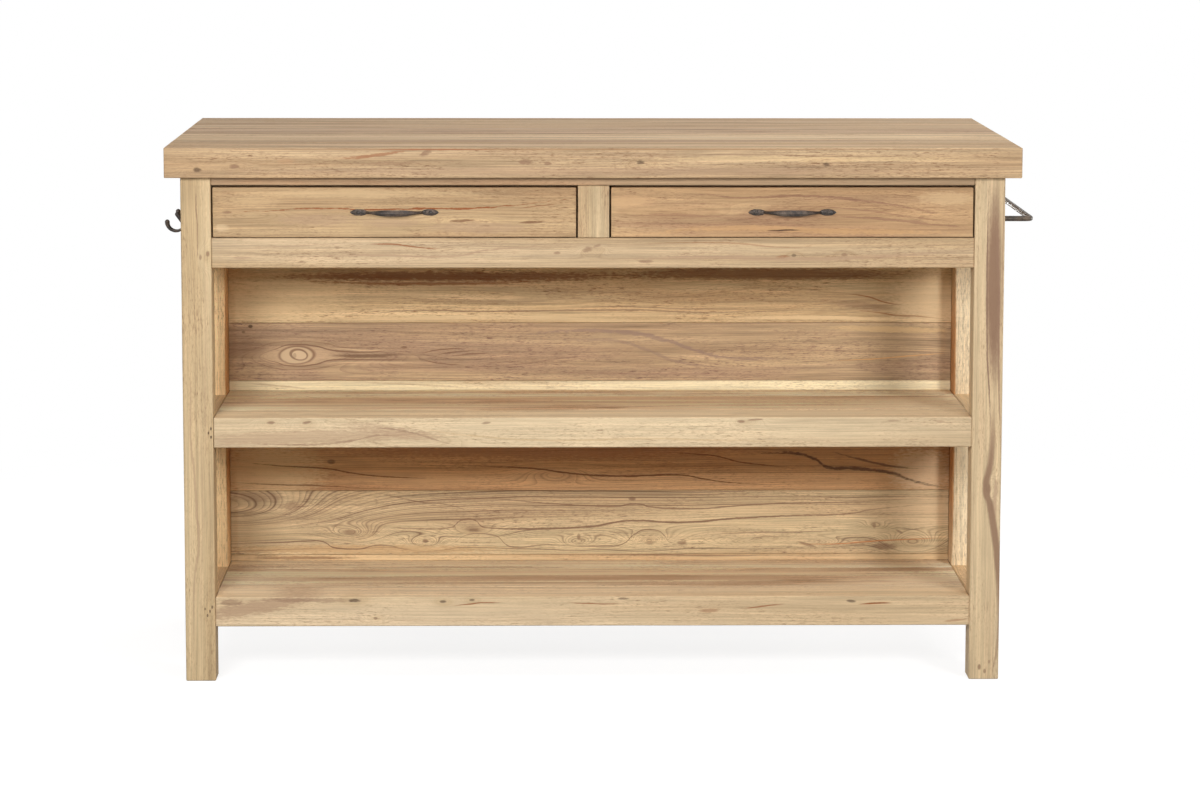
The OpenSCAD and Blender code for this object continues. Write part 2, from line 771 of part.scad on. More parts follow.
// A plate on the right end face, without its screw holes
module end_plate(y, z) {
    block(base_x, base_x + plate_t, y - plate_w / 2, y + plate_w / 2, z - plate_h / 2, z + plate_h / 2);
}

module towel_rail() {
    rod_x = base_x + rail_out - rail_rod_d / 2;
    bend_y = rail_y - rail_bend_r;
    color(DARK_IRON)
    difference() {
        union() {
            for (rear = [false, true]) {
                to_rear(rear) {
                    end_plate(-rail_y, rail_z);
                    // Arm from the plate to the bend
                    translate([base_x + plate_t / 2, -rail_y, rail_z]) rotate([0, 90, 0])
                        cylinder(h = rod_x - rail_bend_r - base_x - plate_t / 2, d = rail_rod_d);
                    translate([rod_x - rail_bend_r, -bend_y, rail_z]) rotate([0, 0, -90])
                        rotate_extrude(angle = 90) translate([rail_bend_r, 0]) circle(d = rail_rod_d);
                }
            }
            translate([rod_x, bend_y, rail_z]) rotate([90, 0, 0]) cylinder(h = 2 * bend_y, d = rail_rod_d);
        }
        at_plate_screws(rail_ys, rail_z) dome_hole();
    }
}

// A double hook at the left end: a J-shaped lower prong and a short upper one, each with a ball end
module hook(y) {
    bend_x = base_x + hook_rod_d + hook_bend_r;
    ball_x = base_x + hook_upper_out;
    root = [base_x + plate_t / 2, y, hook_z - hook_root_drop];
    tip = [ball_x, y, hook_z + hook_upper_rise];
    lean = atan2(tip[0] - root[0], tip[2] - root[2]);
    color(DARK_IRON)
    to_left(true)
    difference() {
        union() {
            end_plate(y, hook_z);
            translate([bend_x, y, hook_z]) rotate([90, 0, 0]) rotate([0, 0, 180])
                rotate_extrude(angle = 180) translate([hook_bend_r, 0]) circle(d = hook_rod_d, $fn = 32);
            // Short neck that joins the bend to the plate
            translate([base_x + plate_t / 2, y, hook_z]) rotate([0, 90, 0])
                cylinder(h = hook_rod_d - plate_t / 2, d = hook_rod_d, $fn = 32);
            translate([bend_x - hook_bend_r, y, hook_z]) sphere(d = hook_rod_d, $fn = 32);
            translate([bend_x + hook_bend_r, y, hook_z]) sphere(d = hook_ball_d, $fn = 32);
            translate(root) rotate([0, lean, 0]) cylinder(h = norm(tip - root), d = hook_rod_d, $fn = 32);
            translate(tip) sphere(d = hook_ball_d, $fn = 32);
        }
        // The prong's root stops at the wood
        block(base_x - 2 * hook_rod_d, base_x, y - plate_w, y + plate_w,
              hook_z - plate_h, hook_z + plate_h);
        at_plate_screws([y], hook_z) dome_hole();
    }
}

module side_screws() {
    color(SCREW_IRON) {
        at_plate_screws(rail_ys, rail_z) dome_screw();
        to_left(true) at_plate_screws(hook_ys, hook_z) dome_screw();
    }
}

module worktop_screws() {
    color(SCREW_IRON)
    for (p = concat(fixing_front, fixing_rear, fixing_side)) {
        translate([p[0], p[1], opening_top_z]) fixing_screw();
    }
}

// Heights between the divider boards
upper_1_z = mid_shelf_z + upper_strip_h;
upper_2_z = upper_1_z + upper_board_h;
lower_1_z = low_shelf_z + lower_strip_h;
lower_2_z = lower_1_z + lower_board_h;
under_mid_z = mid_shelf_z - shelf_board_t;

top_board(0);  // top_board_1
top_board(1);  // top_board_2
top_board(2);  // top_board_3
top_board(3);  // top_board_4
top_board(4);  // top_board_5
leg(true, false);  // leg_front_left
leg(false, false);  // leg_front_right
leg(true, true);  // leg_rear_left
leg(false, true);  // leg_rear_right
front_top_rail();
drawer_rail();
drawer_stile();
rear_apron();
side_apron(true);  // side_apron_left
side_apron(false);  // side_apron_right
shelf_rail(mid_shelf_z, false);  // mid_shelf_front_rail
shelf_rail(mid_shelf_z, true);  // mid_shelf_rear_rail
side_rail(mid_shelf_z, true, true);  // mid_side_rail_left
side_rail(mid_shelf_z, false, true);  // mid_side_rail_right
front_shelf_board(mid_shelf_z, false);  // mid_shelf_board_1
middle_shelf_board(mid_shelf_z);  // mid_shelf_board_2
front_shelf_board(mid_shelf_z, true);  // mid_shelf_board_3
shelf_rail(low_shelf_z, false);  // lower_shelf_front_rail
shelf_rail(low_shelf_z, true);  // lower_shelf_rear_rail
side_rail(low_shelf_z, true, false);  // lower_side_rail_left
side_rail(low_shelf_z, false, false);  // lower_side_rail_right
front_shelf_board(low_shelf_z, false);  // lower_shelf_board_1
middle_shelf_board(low_shelf_z);  // lower_shelf_board_2
front_shelf_board(low_shelf_z, true);  // lower_shelf_board_3
divider_post(true);  // divider_post_left
divider_post(false);  // divider_post_right
divider_board(mid_shelf_z, upper_1_z, PALE_TEAK);  // upper_divider_board_1
divider_board(upper_1_z, upper_2_z, BROWN_TEAK);  // upper_divider_board_2
divider_board(upper_2_z, runner_z, TAN_TEAK);  // upper_divider_board_3
divider_board(low_shelf_z, lower_1_z, PALE_TEAK);  // lower_divider_board_1
divider_board(lower_1_z, lower_2_z, TAN_TEAK);  // lower_divider_board_2
divider_board(lower_2_z, under_mid_z, BROWN_TEAK);  // lower_divider_board_3
side_runner(true);  // left_runner
center_runner();
side_runner(false);  // right_runner
drawer_front(true);  // left_drawer_front
drawer_side(true, true);  // left_drawer_side_outer
drawer_side(true, false);  // left_drawer_side_inner
drawer_back(true);  // left_drawer_back
drawer_bottom(true);  // left_drawer_bottom
handle(true);  // left_drawer_handle
handle_screws(true);  // left_handle_screws
drawer_front(false);  // right_drawer_front
drawer_side(false, true);  // right_drawer_side_outer
drawer_side(false, false);  // right_drawer_side_inner
drawer_back(false);  // right_drawer_back
drawer_bottom(false);  // right_drawer_bottom
handle(false);  // right_drawer_handle
handle_screws(false);  // right_handle_screws
towel_rail();
hook(hook_ys[0]);  // hook_front
hook(hook_ys[1]);  // hook_middle
hook(hook_ys[2]);  // hook_rear
side_screws();
worktop_screws();
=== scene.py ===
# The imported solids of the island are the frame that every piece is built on.
import math

import bmesh
import bpy
from mathutils import Matrix, Vector, noise


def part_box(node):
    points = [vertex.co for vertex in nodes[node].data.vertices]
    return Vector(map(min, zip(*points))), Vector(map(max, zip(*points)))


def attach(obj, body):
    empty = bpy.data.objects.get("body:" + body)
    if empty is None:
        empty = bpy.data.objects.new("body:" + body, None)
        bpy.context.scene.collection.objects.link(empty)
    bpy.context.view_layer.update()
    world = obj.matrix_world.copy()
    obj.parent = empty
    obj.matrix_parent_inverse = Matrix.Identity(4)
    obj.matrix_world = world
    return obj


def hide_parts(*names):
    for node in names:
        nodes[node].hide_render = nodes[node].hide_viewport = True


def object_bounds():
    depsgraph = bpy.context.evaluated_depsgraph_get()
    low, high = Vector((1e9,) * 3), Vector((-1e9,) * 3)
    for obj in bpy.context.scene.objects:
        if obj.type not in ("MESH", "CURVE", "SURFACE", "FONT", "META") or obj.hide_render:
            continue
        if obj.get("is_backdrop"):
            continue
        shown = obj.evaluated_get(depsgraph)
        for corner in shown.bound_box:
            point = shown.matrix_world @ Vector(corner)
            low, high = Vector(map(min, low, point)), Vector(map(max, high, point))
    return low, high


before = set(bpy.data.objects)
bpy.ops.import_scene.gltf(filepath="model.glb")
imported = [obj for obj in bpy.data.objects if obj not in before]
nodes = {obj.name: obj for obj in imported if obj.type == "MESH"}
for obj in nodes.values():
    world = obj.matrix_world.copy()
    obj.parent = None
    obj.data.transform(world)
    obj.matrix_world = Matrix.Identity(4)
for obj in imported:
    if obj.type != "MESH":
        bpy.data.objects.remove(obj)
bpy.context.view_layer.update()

scene = bpy.context.scene
scene.view_settings.view_transform = "Standard"

# The view: a long lens about six metres in front, a little left of the middle and above the
# worktop, tipped down towards the shelves.
camera = bpy.data.objects.new("camera", bpy.data.cameras.new("camera"))
camera.data.sensor_width = 36
camera.data.lens = 109.86
camera.data.shift_y = -0.07
camera.data.clip_end = 60
turned, tipped, rolled = -1.034, 7.06, 0.093
camera.matrix_world = (
    Matrix.Translation((-0.0971, -6.2993, 1.3509))
    @ Matrix.Rotation(math.radians(turned), 4, "Z")
    @ Matrix.Rotation(math.radians(90 - tipped), 4, "X")
    @ Matrix.Rotation(math.radians(rolled), 4, "Z")
)
scene.collection.objects.link(camera)
scene.camera = camera

# The studio: a soft box at each side in front, just above the height of the worktop, two broad
# ones overhead, low ones behind and past each end, and a pale floor that runs out into a white
# background but keeps the shadow.
for name, place, target, size, power in (
    ("right_soft_box", (1.76, -2.8, 1.34), (0, 0, 0.5), (0.5, 0.5), 41),
    ("left_soft_box", (-1.05, -2.8, 1.34), (0, 0, 0.5), (0.7, 0.5), 49),
    ("high_soft_box", (0, -1.4, 3.0), (0, 0, 0.5), (2.6, 0.8), 18),
    ("overhead_soft_box", (1.2, -0.3, 3.2), (0.1, 0, 0.5), (3.0, 2.4), 31),
    ("rear_soft_box", (0.2, 3.0, 0.62), (0, 0, 0.55), (1.8, 0.5), 62),
    ("left_end_soft_box", (-2.7, 1.5, 0.6), (-0.6, 0, 0.55), (0.8, 0.5), 24),
    ("right_end_soft_box", (2.8, 1.1, 0.55), (0.6, 0, 0.55), (0.8, 0.5), 28),
):
    lamp = bpy.data.objects.new(name, bpy.data.lights.new(name, "AREA"))
    lamp.data.shape = "RECTANGLE"
    lamp.data.size, lamp.data.size_y = size
    lamp.data.energy = power
    lamp.location = place
    lamp.rotation_mode = "QUATERNION"
    lamp.rotation_quaternion = (Vector(target) - Vector(place)).to_track_quat("-Z", "Y")
    lamp.visible_camera = False
    scene.collection.objects.link(lamp)


def step(tree, kind, values=None, **settings):
    """One node; each value is a number, a colour or another node's output."""
    made = tree.nodes.new("ShaderNode" + kind)
    for key, setting in settings.items():
        setattr(made, key, setting)
    for key, value in (values or {}).items():
        if isinstance(value, bpy.types.NodeSocket):
            tree.links.new(value, made.inputs[key])
        else:
            made.inputs[key].default_value = value
    return made


def ramp(value, start, end, low=0, high=1):
    """An eased slope from one number to another, as the value goes from start to end."""
    values = {"Value": value, "From Min": start, "From Max": end, "To Min": low, "To Max": high}
    return step(value.id_data, "MapRange", values, interpolation_type="SMOOTHSTEP").outputs[0]


def where_seen(tree, unseen, seen):
    """One shader for the light that falls on the island, another for the camera and reflections."""
    rays = step(tree, "LightPath").outputs
    either = step(tree, "Math", {0: rays["Is Camera Ray"], 1: rays["Is Glossy Ray"]}, operation="MAXIMUM")
    return step(tree, "MixShader", {0: either.outputs[0], 1: unseen, 2: seen}).outputs[0]


def empty_material(name):
    made = bpy.data.materials.new(name)
    made.use_nodes = True
    made.node_tree.nodes.clear()
    return made, made.node_tree


scene.world = bpy.data.worlds.new("studio")
scene.world.use_nodes = True
sky = scene.world.node_tree
sky.nodes.clear()
white = step(sky, "Background", {"Color": (1, 1, 1, 1)}).outputs[0]
dim = step(sky, "Background", {"Color": (1, 0.98, 0.95, 1), "Strength": 0.06}).outputs[0]
step(sky, "OutputWorld", {"Surface": where_seen(sky, dim, white)})

floor_half = 14
below_feet = 0.0005
floor_mesh = bmesh.new()
bmesh.ops.create_grid(floor_mesh, x_segments=1, y_segments=1, size=floor_half)
floor = bpy.data.objects.new("floor", bpy.data.meshes.new("floor"))
floor_mesh.to_mesh(floor.data)
floor_mesh.free()
floor.location.z = -below_feet
scene.collection.objects.link(floor)
floor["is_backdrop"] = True
floor_white, paint = empty_material("floor_white")
place = step(paint, "TexCoord").outputs["Object"]
reach = step(paint, "VectorMath", {0: place}, operation="LENGTH").outputs["Value"]
pale = step(paint, "BsdfDiffuse", {"Color": (0.3, 0.3, 0.3, 1)}).outputs[0]
lift = step(paint, "Emission", {"Strength": 0.84}).outputs[0]
near = step(paint, "AddShader", {0: pale, 1: lift}).outputs[0]
glow = step(paint, "Emission", {"Strength": 1}).outputs[0]
shown = step(paint, "MixShader", {0: ramp(reach, 0.9, 2.2), 1: near, 2: glow}).outputs[0]
dull = step(paint, "BsdfDiffuse", {"Color": (0.42, 0.41, 0.39, 1)}).outputs[0]
step(paint, "OutputMaterial", {"Surface": where_seen(paint, dull, shown)})
floor.data.materials.append(floor_white)


# The legs: four square teak posts that run from the floor up to the worktop, planed and with
# their edges eased by hand. The right front one shows a dark wavy band of heartwood. Their
# mortises are filled by the tenons of the rails and aprons.
def tone(looks):
    """A colour as it looks, three numbers from 0 to 255, as a shader's own value."""
    def linear(part):
        part /= 255
        return part / 12.92 if part <= 0.04045 else ((part + 0.055) / 1.055) ** 2.4
    return (*map(linear, looks), 1)


def sums(operation, kind="Math", answer=0):
    """A plain word for one sum on numbers and on the outputs of nodes."""
    def work(*parts, **settings):
        tree = next(part.id_data for part in parts if isinstance(part, bpy.types.NodeSocket))
        return step(tree, kind, dict(enumerate(parts)), operation=operation, **settings).outputs[answer]
    return work


plus, minus, times, over = map(sums, ("ADD", "SUBTRACT", "MULTIPLY", "DIVIDE"))
power, exponent, fraction, times_plus = map(sums, ("POWER", "EXPONENT", "FRACT", "MULTIPLY_ADD"))
smaller, larger = map(sums, ("MINIMUM", "MAXIMUM"))
# The same for all three parts of a place at once.
all_plus, all_minus = sums("ADD", "VectorMath"), sums("SUBTRACT", "VectorMath")
all_times, all_over = sums("MULTIPLY", "VectorMath"), sums("DIVIDE", "VectorMath")
all_positive, all_smaller = sums("ABSOLUTE", "VectorMath"), sums("MINIMUM", "VectorMath")
dot = sums("DOT_PRODUCT", "VectorMath", "Value")
length = sums("LENGTH", "VectorMath", "Value")


def scaled(vector, amount):
    return step(vector.id_data, "VectorMath", {0: vector, "Scale": amount}, operation="SCALE").outputs[0]


def parts_of(vector):
    return step(vector.id_data, "SeparateXYZ", {0: vector}).outputs


def blend_of(amount, first, second):
    return step(amount.id_data, "Mix", {0: amount, 6: first, 7: second}, data_type="RGBA").outputs[2]


def clouds(vector, scales, detail, roughness=0.5, seed=None, answer="Fac"):
    """Soft noise, drawn out differently in each direction, and moved on by the board's seed."""
    moved = all_times(vector, scales)
    if seed is not None:
        moved = all_plus(moved, seed)
    values = {"Vector": moved, "Scale": 1, "Detail": detail, "Roughness": roughness}
    return step(vector.id_data, "TexNoise", values).outputs[answer]


def new_group(name, inputs, outputs):
    """An empty group of nodes, the values it is given, and the way to hand out its answers."""
    tree = bpy.data.node_groups.new(name, "ShaderNodeTree")
    for way, sockets in (("INPUT", inputs), ("OUTPUT", outputs)):
        for label, kind in sockets.items():
            tree.interface.new_socket(label, in_out=way, socket_type="NodeSocket" + kind)
    given = tree.nodes.new("NodeGroupInput").outputs
    out = tree.nodes.new("NodeGroupOutput").inputs

    def hand_out(**answers):
        for label, answer in answers.items():
            tree.links.new(answer, out[label])
    return tree, given, hand_out


# A teak group works on board coordinates: along the grain, across the face, through the board.
# This one lets the grain waver.
waver_group, given, hand_out = new_group(
    "teak_waver", dict(Board="Vector", Seed="Vector", Amount="Float"), dict(Board="Vector"))
drift = clouds(given["Board"], (1.5, 7, 7), 3, 0.45, given["Seed"], "Color")
drift = scaled(all_minus(drift, (0.5, 0.5, 0.5)), given["Amount"])
hand_out(Board=all_plus(given["Board"], drift))

# A knot lifts the year rings, so that they run round it.
knot_group, given, hand_out = new_group(
    "teak_knot", dict(Board="Vector", Centre="Vector", Reach="Vector", Rise="Float", Lift="Float"),
    dict(Lift="Float"))
apart = all_over(all_minus(given["Board"], given["Centre"]), given["Reach"])
near = exponent(times(dot(apart, apart), -1))
hand_out(Lift=times_plus(near, given["Rise"], given["Lift"]))

# A mark is an oval stain with a torn edge, which may slope or follow a bend.
mark_group, given, hand_out = new_group(
    "teak_mark", dict(Board="Vector", Centre="Vector", Reach="Vector", Slope="Float", Bend="Float",
                      Ragged="Float", Full="Float"), dict(Mask="Float"))
part = parts_of(all_minus(given["Board"], given["Centre"]))
rough = times(minus(clouds(given["Board"], (42, 210, 140), 3, 0.65), 0.5), given["Ragged"])
across = minus(part["Y"], times(part["X"], given["Slope"]))
across = plus(minus(across, given["Bend"]), rough)
size = parts_of(given["Reach"])
across = over(across, size["Y"])
along = over(part["X"], size["X"])
away = plus(times(across, across), times(along, along))
torn = minus(clouds(given["Board"], (110, 480, 320), 2, 0.6), 0.5)
torn = times(torn, ramp(given["Ragged"], 0.001, 0.005, 0, 1.6))
hand_out(Mask=ramp(plus(away, torn), 1, given["Full"]))

# Edges are worn where two faces of a board meet.
wear_group, given, hand_out = new_group(
    "worn_edges", dict(Board="Vector", Half="Vector", Width="Float"), dict(Mask="Float"))
side = parts_of(all_minus(given["Half"], all_positive(given["Board"])))
low = smaller(side["X"], side["Y"])
high = larger(side["X"], side["Y"])
second = larger(low, smaller(high, side["Z"]))
rough = clouds(given["Board"], (45, 45, 45), 2)
hand_out(Mask=ramp(over(second, times(given["Width"], rough)), 2.4, 0.3))

# The grain: year rings round the pith, darker towards the heart, with streaks, fibres and pores.
grain_group, given, hand_out = new_group(
    "teak_grain",
    dict(Board="Vector", Seed="Vector", Lift="Float", Pith="Vector", Ring="Float", Pale="Color", Tan="Color",
         Brown="Color", Line="Color", Heart="Float", Blend="Float", Lines="Float", Fibre="Float", Stain="Float"),
    dict(Color="Color", Roughness="Float", Height="Float"))


def figure(along, across, detail, roughness=0.5):
    """Noise drawn out along the grain."""
    return clouds(given["Board"], (along, across, across), detail, roughness, given["Seed"])


def in_rings(spread):
    """Coordinates that follow the year rings instead of the board."""
    return step(grain_group, "CombineXYZ", {"X": along, "Y": times(rings, spread)}).outputs[0]


along = times(parts_of(given["Board"])["X"], 1.1)
radius = length(all_times(all_minus(given["Board"], given["Pith"]), (0, 1, 1)))
rings = plus(over(radius, given["Ring"]), given["Lift"])
rings = plus(rings, times(clouds(in_rings(0.33), (0.5, 1, 1), 1, 0.5, given["Seed"]), 1.6))
year = fraction(rings)
line = larger(ramp(year, 0.2, 0), ramp(year, 0.93, 1))
line = larger(line, times(power(year, 2), 0.42))
curved = in_rings(0.55)
bold = clouds(curved, (1, 1, 1), 2, 0.6, given["Seed"])
line = times(line, ramp(bold, 0.36, 0.66, 0.12, 1))
band = ramp(clouds(curved, (0.7, 0.34, 1), 2, 0.55, given["Seed"]), 0.34, 0.64)
streak = figure(2.2, 120, 4, 0.7)
fibre = figure(9, 460, 3, 0.7)
fleck = figure(62, 440, 3, 0.7)
mottle = figure(5, 22, 3, 0.65)
pore = times(ramp(figure(150, 720, 1), 0.5, 0.7), ramp(mottle, 0.38, 0.6, 0.3, 1.2))
patch = figure(1.6, 26, 2, 0.6)
radius = plus(radius, times(minus(streak, 0.5), 0.012))
heart = ramp(radius, given["Heart"], plus(given["Heart"], given["Blend"]), 1, 0)
wood = blend_of(band, given["Pale"], given["Tan"])
wood = blend_of(times(heart, ramp(mottle, 0.2, 0.6, 0.55, 1)), wood, given["Brown"])
stain = times(ramp(patch, 0.46, 0.66), ramp(mottle, 0.36, 0.6, 0.25, 1))
wood = blend_of(times(stain, given["Stain"], use_clamp=True), wood, given["Brown"])
thread = times(power(fraction(times(rings, 3)), 3), ramp(bold, 0.3, 0.6, 0.2, 0.75))
line = larger(line, thread)
wood = blend_of(times(line, given["Lines"], use_clamp=True), wood, given["Line"])
fine = plus(times(minus(streak, 0.5), 1.9), times(minus(fibre, 0.5), 1.5))
fine = plus(times(fine, given["Fibre"]), times(minus(mottle, 0.5), 0.5))
fleck = times(ramp(fleck, 0.51, 0.72), ramp(mottle, 0.4, 0.62, 0.12, 1.4))
dark = plus(times(pore, 0.5), fleck)
wood = blend_of(times(dark, given["Fibre"], use_clamp=True), wood, given["Line"])
hand_out(
    Color=scaled(wood, plus(1.03, fine)),
    Roughness=ramp(plus(fibre, line), 0.2, 1.6, 0.58, 0.78),
    Height=minus(minus(times(fibre, 0.6), times(line, 0.5)), dark),
)

# The saw leaves ridges across the grain, and tears the fibres up between them.
saw_group, given, hand_out = new_group(
    "saw_marks", dict(Board="Vector", Color="Color", Amount="Float"), dict(Color="Color", Height="Float"))
kerf = clouds(given["Board"], (420, 16, 16), 2, 0.6)
torn = ramp(clouds(given["Board"], (60, 420, 420), 3, 0.65), 0.5, 0.7)
shade = times(plus(torn, times(kerf, 0.5)), given["Amount"])
hand_out(
    Color=scaled(given["Color"], minus(1.12, times(shade, 0.3))),
    Height=plus(times(ramp(kerf, 0.35, 0.65), 0.5), torn),
)

# How a board lies: the axis that its grain follows, and the turn that lays it flat.
LIES = {
    "flat": (0, Matrix(((1, 0, 0), (0, 1, 0), (0, 0, 1)))),
    "upright": (0, Matrix(((1, 0, 0), (0, 0, 1), (0, -1, 0)))),
    "post": (2, Matrix(((0, 0, 1), (1, 0, 0), (0, 1, 0)))),
    "end": (1, Matrix(((0, 1, 0), (0, 0, 1), (1, 0, 0)))),
}
SAP = (228, 203, 163)
STRAW = (212, 180, 136)
HEARTWOOD = (172, 132, 96)
RING_LINE = (128, 96, 70)
RUBBED_EDGE = (150, 116, 82)
RUST = (142, 86, 50)
SOOT = (70, 50, 38)
GREY_BROWN = (172, 142, 114)
UMBER = (132, 100, 78)


def finish_off(tree, color, roughness, height, gloss):
    """Ends a material: its relief and its shader, which takes the gloss on its own sockets."""
    bump = step(tree, "Bump", {"Height": height, "Strength": 0.5, "Distance": 0.0005}).outputs[0]
    values = {"Base Color": color, "Roughness": roughness, "Normal": bump, **gloss}
    step(tree, "OutputMaterial", {"Surface": step(tree, "BsdfPrincipled", values).outputs[0]})


def teak(name, lie, box, seed, pale=SAP, tan=STRAW, brown=HEARTWOOD, line=RING_LINE, pith=(0.2, -0.1),
         ring=0.007, waver=0.02, heart=0, blend=0.02, lines=0.5, fibre=0.42, stain=0.4,
         knots=(), marks=(), veins=(), top_veins=(), sawn=0, bleached=0):
    """Teak for one board, in the coordinates of that board. Knots, marks and veins are given in
    the island's own millimetres, along the grain and across the face. A vein is a dark or pale
    line of the grain that bends through the points it is given. On a board that stands upright,
    the top veins run over its upper face instead."""
    made, tree = empty_material(name)
    low, high = box
    turn = LIES[lie][1]
    middle = turn @ ((low + high) / 2)
    half = Vector([abs(part) for part in turn @ ((high - low) / 2)])
    values = {"Vector": step(tree, "TexCoord").outputs["Object"], "Rotation": turn.to_euler(), "Location": -middle}
    board = step(tree, "Mapping", values).outputs[0]
    seeds = tuple(seed * stride % 40 for stride in (3.17, 7.31, 5.53))
    through = 10
    sunk = -1.5
    edge_width, edge_rub = 0.0012, 0.35
    palest = (0.95, 0.92, 0.88)

    def use(group, **values):
        return step(tree, "Group", values, node_tree=group).outputs

    def spot(u, v):
        """A place on the face, from the island's millimetres."""
        return (u / 1000 - middle.x, v / 1000 - middle.y, 0)

    waved = use(waver_group, Board=board, Seed=seeds, Amount=waver)["Board"]
    lift = 0
    for u, v, reach_u, reach_v, rise in knots:
        lift = use(knot_group, Board=waved, Centre=spot(u, v), Rise=rise, Lift=lift,
                   Reach=(reach_u / 1000, reach_v / 1000, through))["Lift"]
    wood = use(grain_group, Board=waved, Seed=seeds, Lift=lift, Pith=(0, *pith), Ring=ring, Pale=tone(pale),
               Tan=tone(tan), Brown=tone(brown), Line=tone(line), Heart=heart, Blend=blend, Lines=lines,
               Fibre=fibre, Stain=stain)
    color, height = wood["Color"], wood["Height"]

    def full_at(ragged, clean):
        """How far from its middle a mark has its full strength: a ragged one fades over most of its width."""
        return clean if ragged <= 1.5 else 0.15

    for u, v, reach_u, reach_v, slant, ragged, paint, amount in marks:
        mask = use(mark_group, Board=board, Centre=spot(u, v), Slope=slant, Ragged=ragged / 1000,
                   Full=full_at(ragged, 0.7), Reach=(reach_u / 1000, reach_v / 1000, through))["Mask"]
        mask = times(mask, amount)
        color = blend_of(mask, color, tone(paint))
        height = times_plus(mask, sunk, height)
    part = parts_of(board)
    faces = [(veins, board, middle.y)]
    if top_veins:
        upper = step(tree, "CombineXYZ", {"X": part["X"], "Y": times(part["Z"], -1)}).outputs[0]
        faces.append((top_veins, upper, -middle.z))
    for on_face, coordinates, origin in faces:
        for points, width, ragged, paint, amount in on_face:
            start, low_v = (min(point[n] for point in points) for n in (0, 1))
            end, high_v = (max(point[n] for point in points) for n in (0, 1))
            high_v = max(high_v, low_v + 0.1)
            share = step(tree, "MapRange", {"Value": part["X"], "From Min": spot(start, 0)[0],
                                            "From Max": spot(end, 0)[0]}).outputs[0]
            bend = step(tree, "FloatCurve", {"Value": share})
            path = bend.mapping.curves[0].points
            shares = [((u - start) / (end - start), (v - low_v) / (high_v - low_v)) for u, v in points]
            path[0].location, path[-1].location = shares[0], shares[-1]
            for u, v in shares[1:-1]:
                path.new(u, v)
            bend.mapping.update()
            bend = step(tree, "MapRange", {"Value": bend.outputs[0], "To Min": low_v / 1000 - origin,
                                           "To Max": high_v / 1000 - origin}).outputs[0]
            mask = use(mark_group, Board=coordinates, Centre=(spot((start + end) / 2, 0)[0], 0, 0), Bend=bend,
                       Ragged=ragged / 1000, Full=full_at(ragged, 0.4),
                       Reach=((end - start) / 1900, width / 2000, through))["Mask"]
            color = blend_of(times(mask, amount), color, tone(paint))
    # Painted light: faces that look up are made paler, by up to the given share, to stand for the stronger light
    # falling on them from above; the result is capped below white.
    if bleached:
        up = parts_of(step(tree, "NewGeometry").outputs["Normal"])["Z"]
        color = scaled(color, ramp(up, 0.6, 0.95, 1, 1 + bleached))
        color = all_smaller(color, palest)
    if sawn:
        kerf = use(saw_group, Board=board, Color=color, Amount=sawn)
        color = kerf["Color"]
        height = times_plus(kerf["Height"], 3 * sawn, height)
    worn = use(wear_group, Board=board, Half=half, Width=edge_width)["Mask"]
    color = blend_of(times(worn, edge_rub), color, tone(RUBBED_EDGE))
    finish_off(tree, color, wood["Roughness"], height, {"Specular IOR Level": 0.22})
    return made


def box_of(node, lie, shows=None):
    """A solid's corners, cut back along its grain to where it shows past its tenons, in millimetres."""
    low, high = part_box(node)
    if shows:
        axis = LIES[lie][0]
        low[axis], high[axis] = shows[0] / 1000, shows[1] / 1000
    return low, high


def plank(name, axis, section, start, end, ease=0.0018, wander=0.0004):
    """A board of a given section. Its edges are eased, then wander and chip a little, always inwards."""
    cut_spacing = 0.012
    chip, chip_from = 0.0012, 0.35
    flat = 0.97
    a, b = [n for n in range(3) if n != axis]
    mesh = bmesh.new()
    corners = []
    for first, second in section:
        corner = Vector((0, 0, 0))
        corner[axis], corner[a], corner[b] = start, first, second
        corners.append(mesh.verts.new(corner))
    grown = bmesh.ops.extrude_face_region(mesh, geom=[mesh.faces.new(corners)])["geom"]
    way = Vector((0, 0, 0))
    way[axis] = 1
    verts = [part for part in grown if isinstance(part, bmesh.types.BMVert)]
    bmesh.ops.translate(mesh, verts=verts, vec=way * (end - start))
    bmesh.ops.recalc_face_normals(mesh, faces=mesh.faces)
    outer = [edge for edge in mesh.edges if edge.calc_face_angle_signed() > 0.5]
    bmesh.ops.bevel(mesh, geom=outer, offset=ease, offset_type="OFFSET", segments=3, profile=0.5,
                    affect="EDGES", material=-1, clamp_overlap=True)
    cuts = max(2, round((end - start) / cut_spacing))
    for number in range(1, cuts):
        place = way * (start + (end - start) * number / cuts)
        whole = mesh.verts[:] + mesh.edges[:] + mesh.faces[:]
        bmesh.ops.bisect_plane(mesh, geom=whole, plane_co=place, plane_no=way)
    mesh.normal_update()
    offset = Vector((sum(map(ord, name)) % 97, 3.3, 7.7))
    moved = []
    for vert in mesh.verts:
        slow = noise.noise(vert.co * 9 + offset)
        quick = noise.noise(vert.co * 60 + offset)
        depth = wander * (0.5 + 0.5 * slow)
        if max(abs(part) for part in vert.normal) < flat:
            depth += wander * (0.5 + 0.5 * quick) + chip * max(0, quick - chip_from)
        moved.append((vert, vert.co - vert.normal * depth))
    for vert, co in moved:
        vert.co = co
    return mesh


def settle(mesh, name, finish, node, body):
    """Makes a mesh a piece with its finish, which stands for a solid and rides on its body."""
    made = bpy.data.objects.new(name, bpy.data.meshes.new(name))
    mesh.to_mesh(made.data)
    mesh.free()
    scene.collection.objects.link(made)
    made.data.materials.append(finish)
    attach(made, body)
    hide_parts(node)
    return made


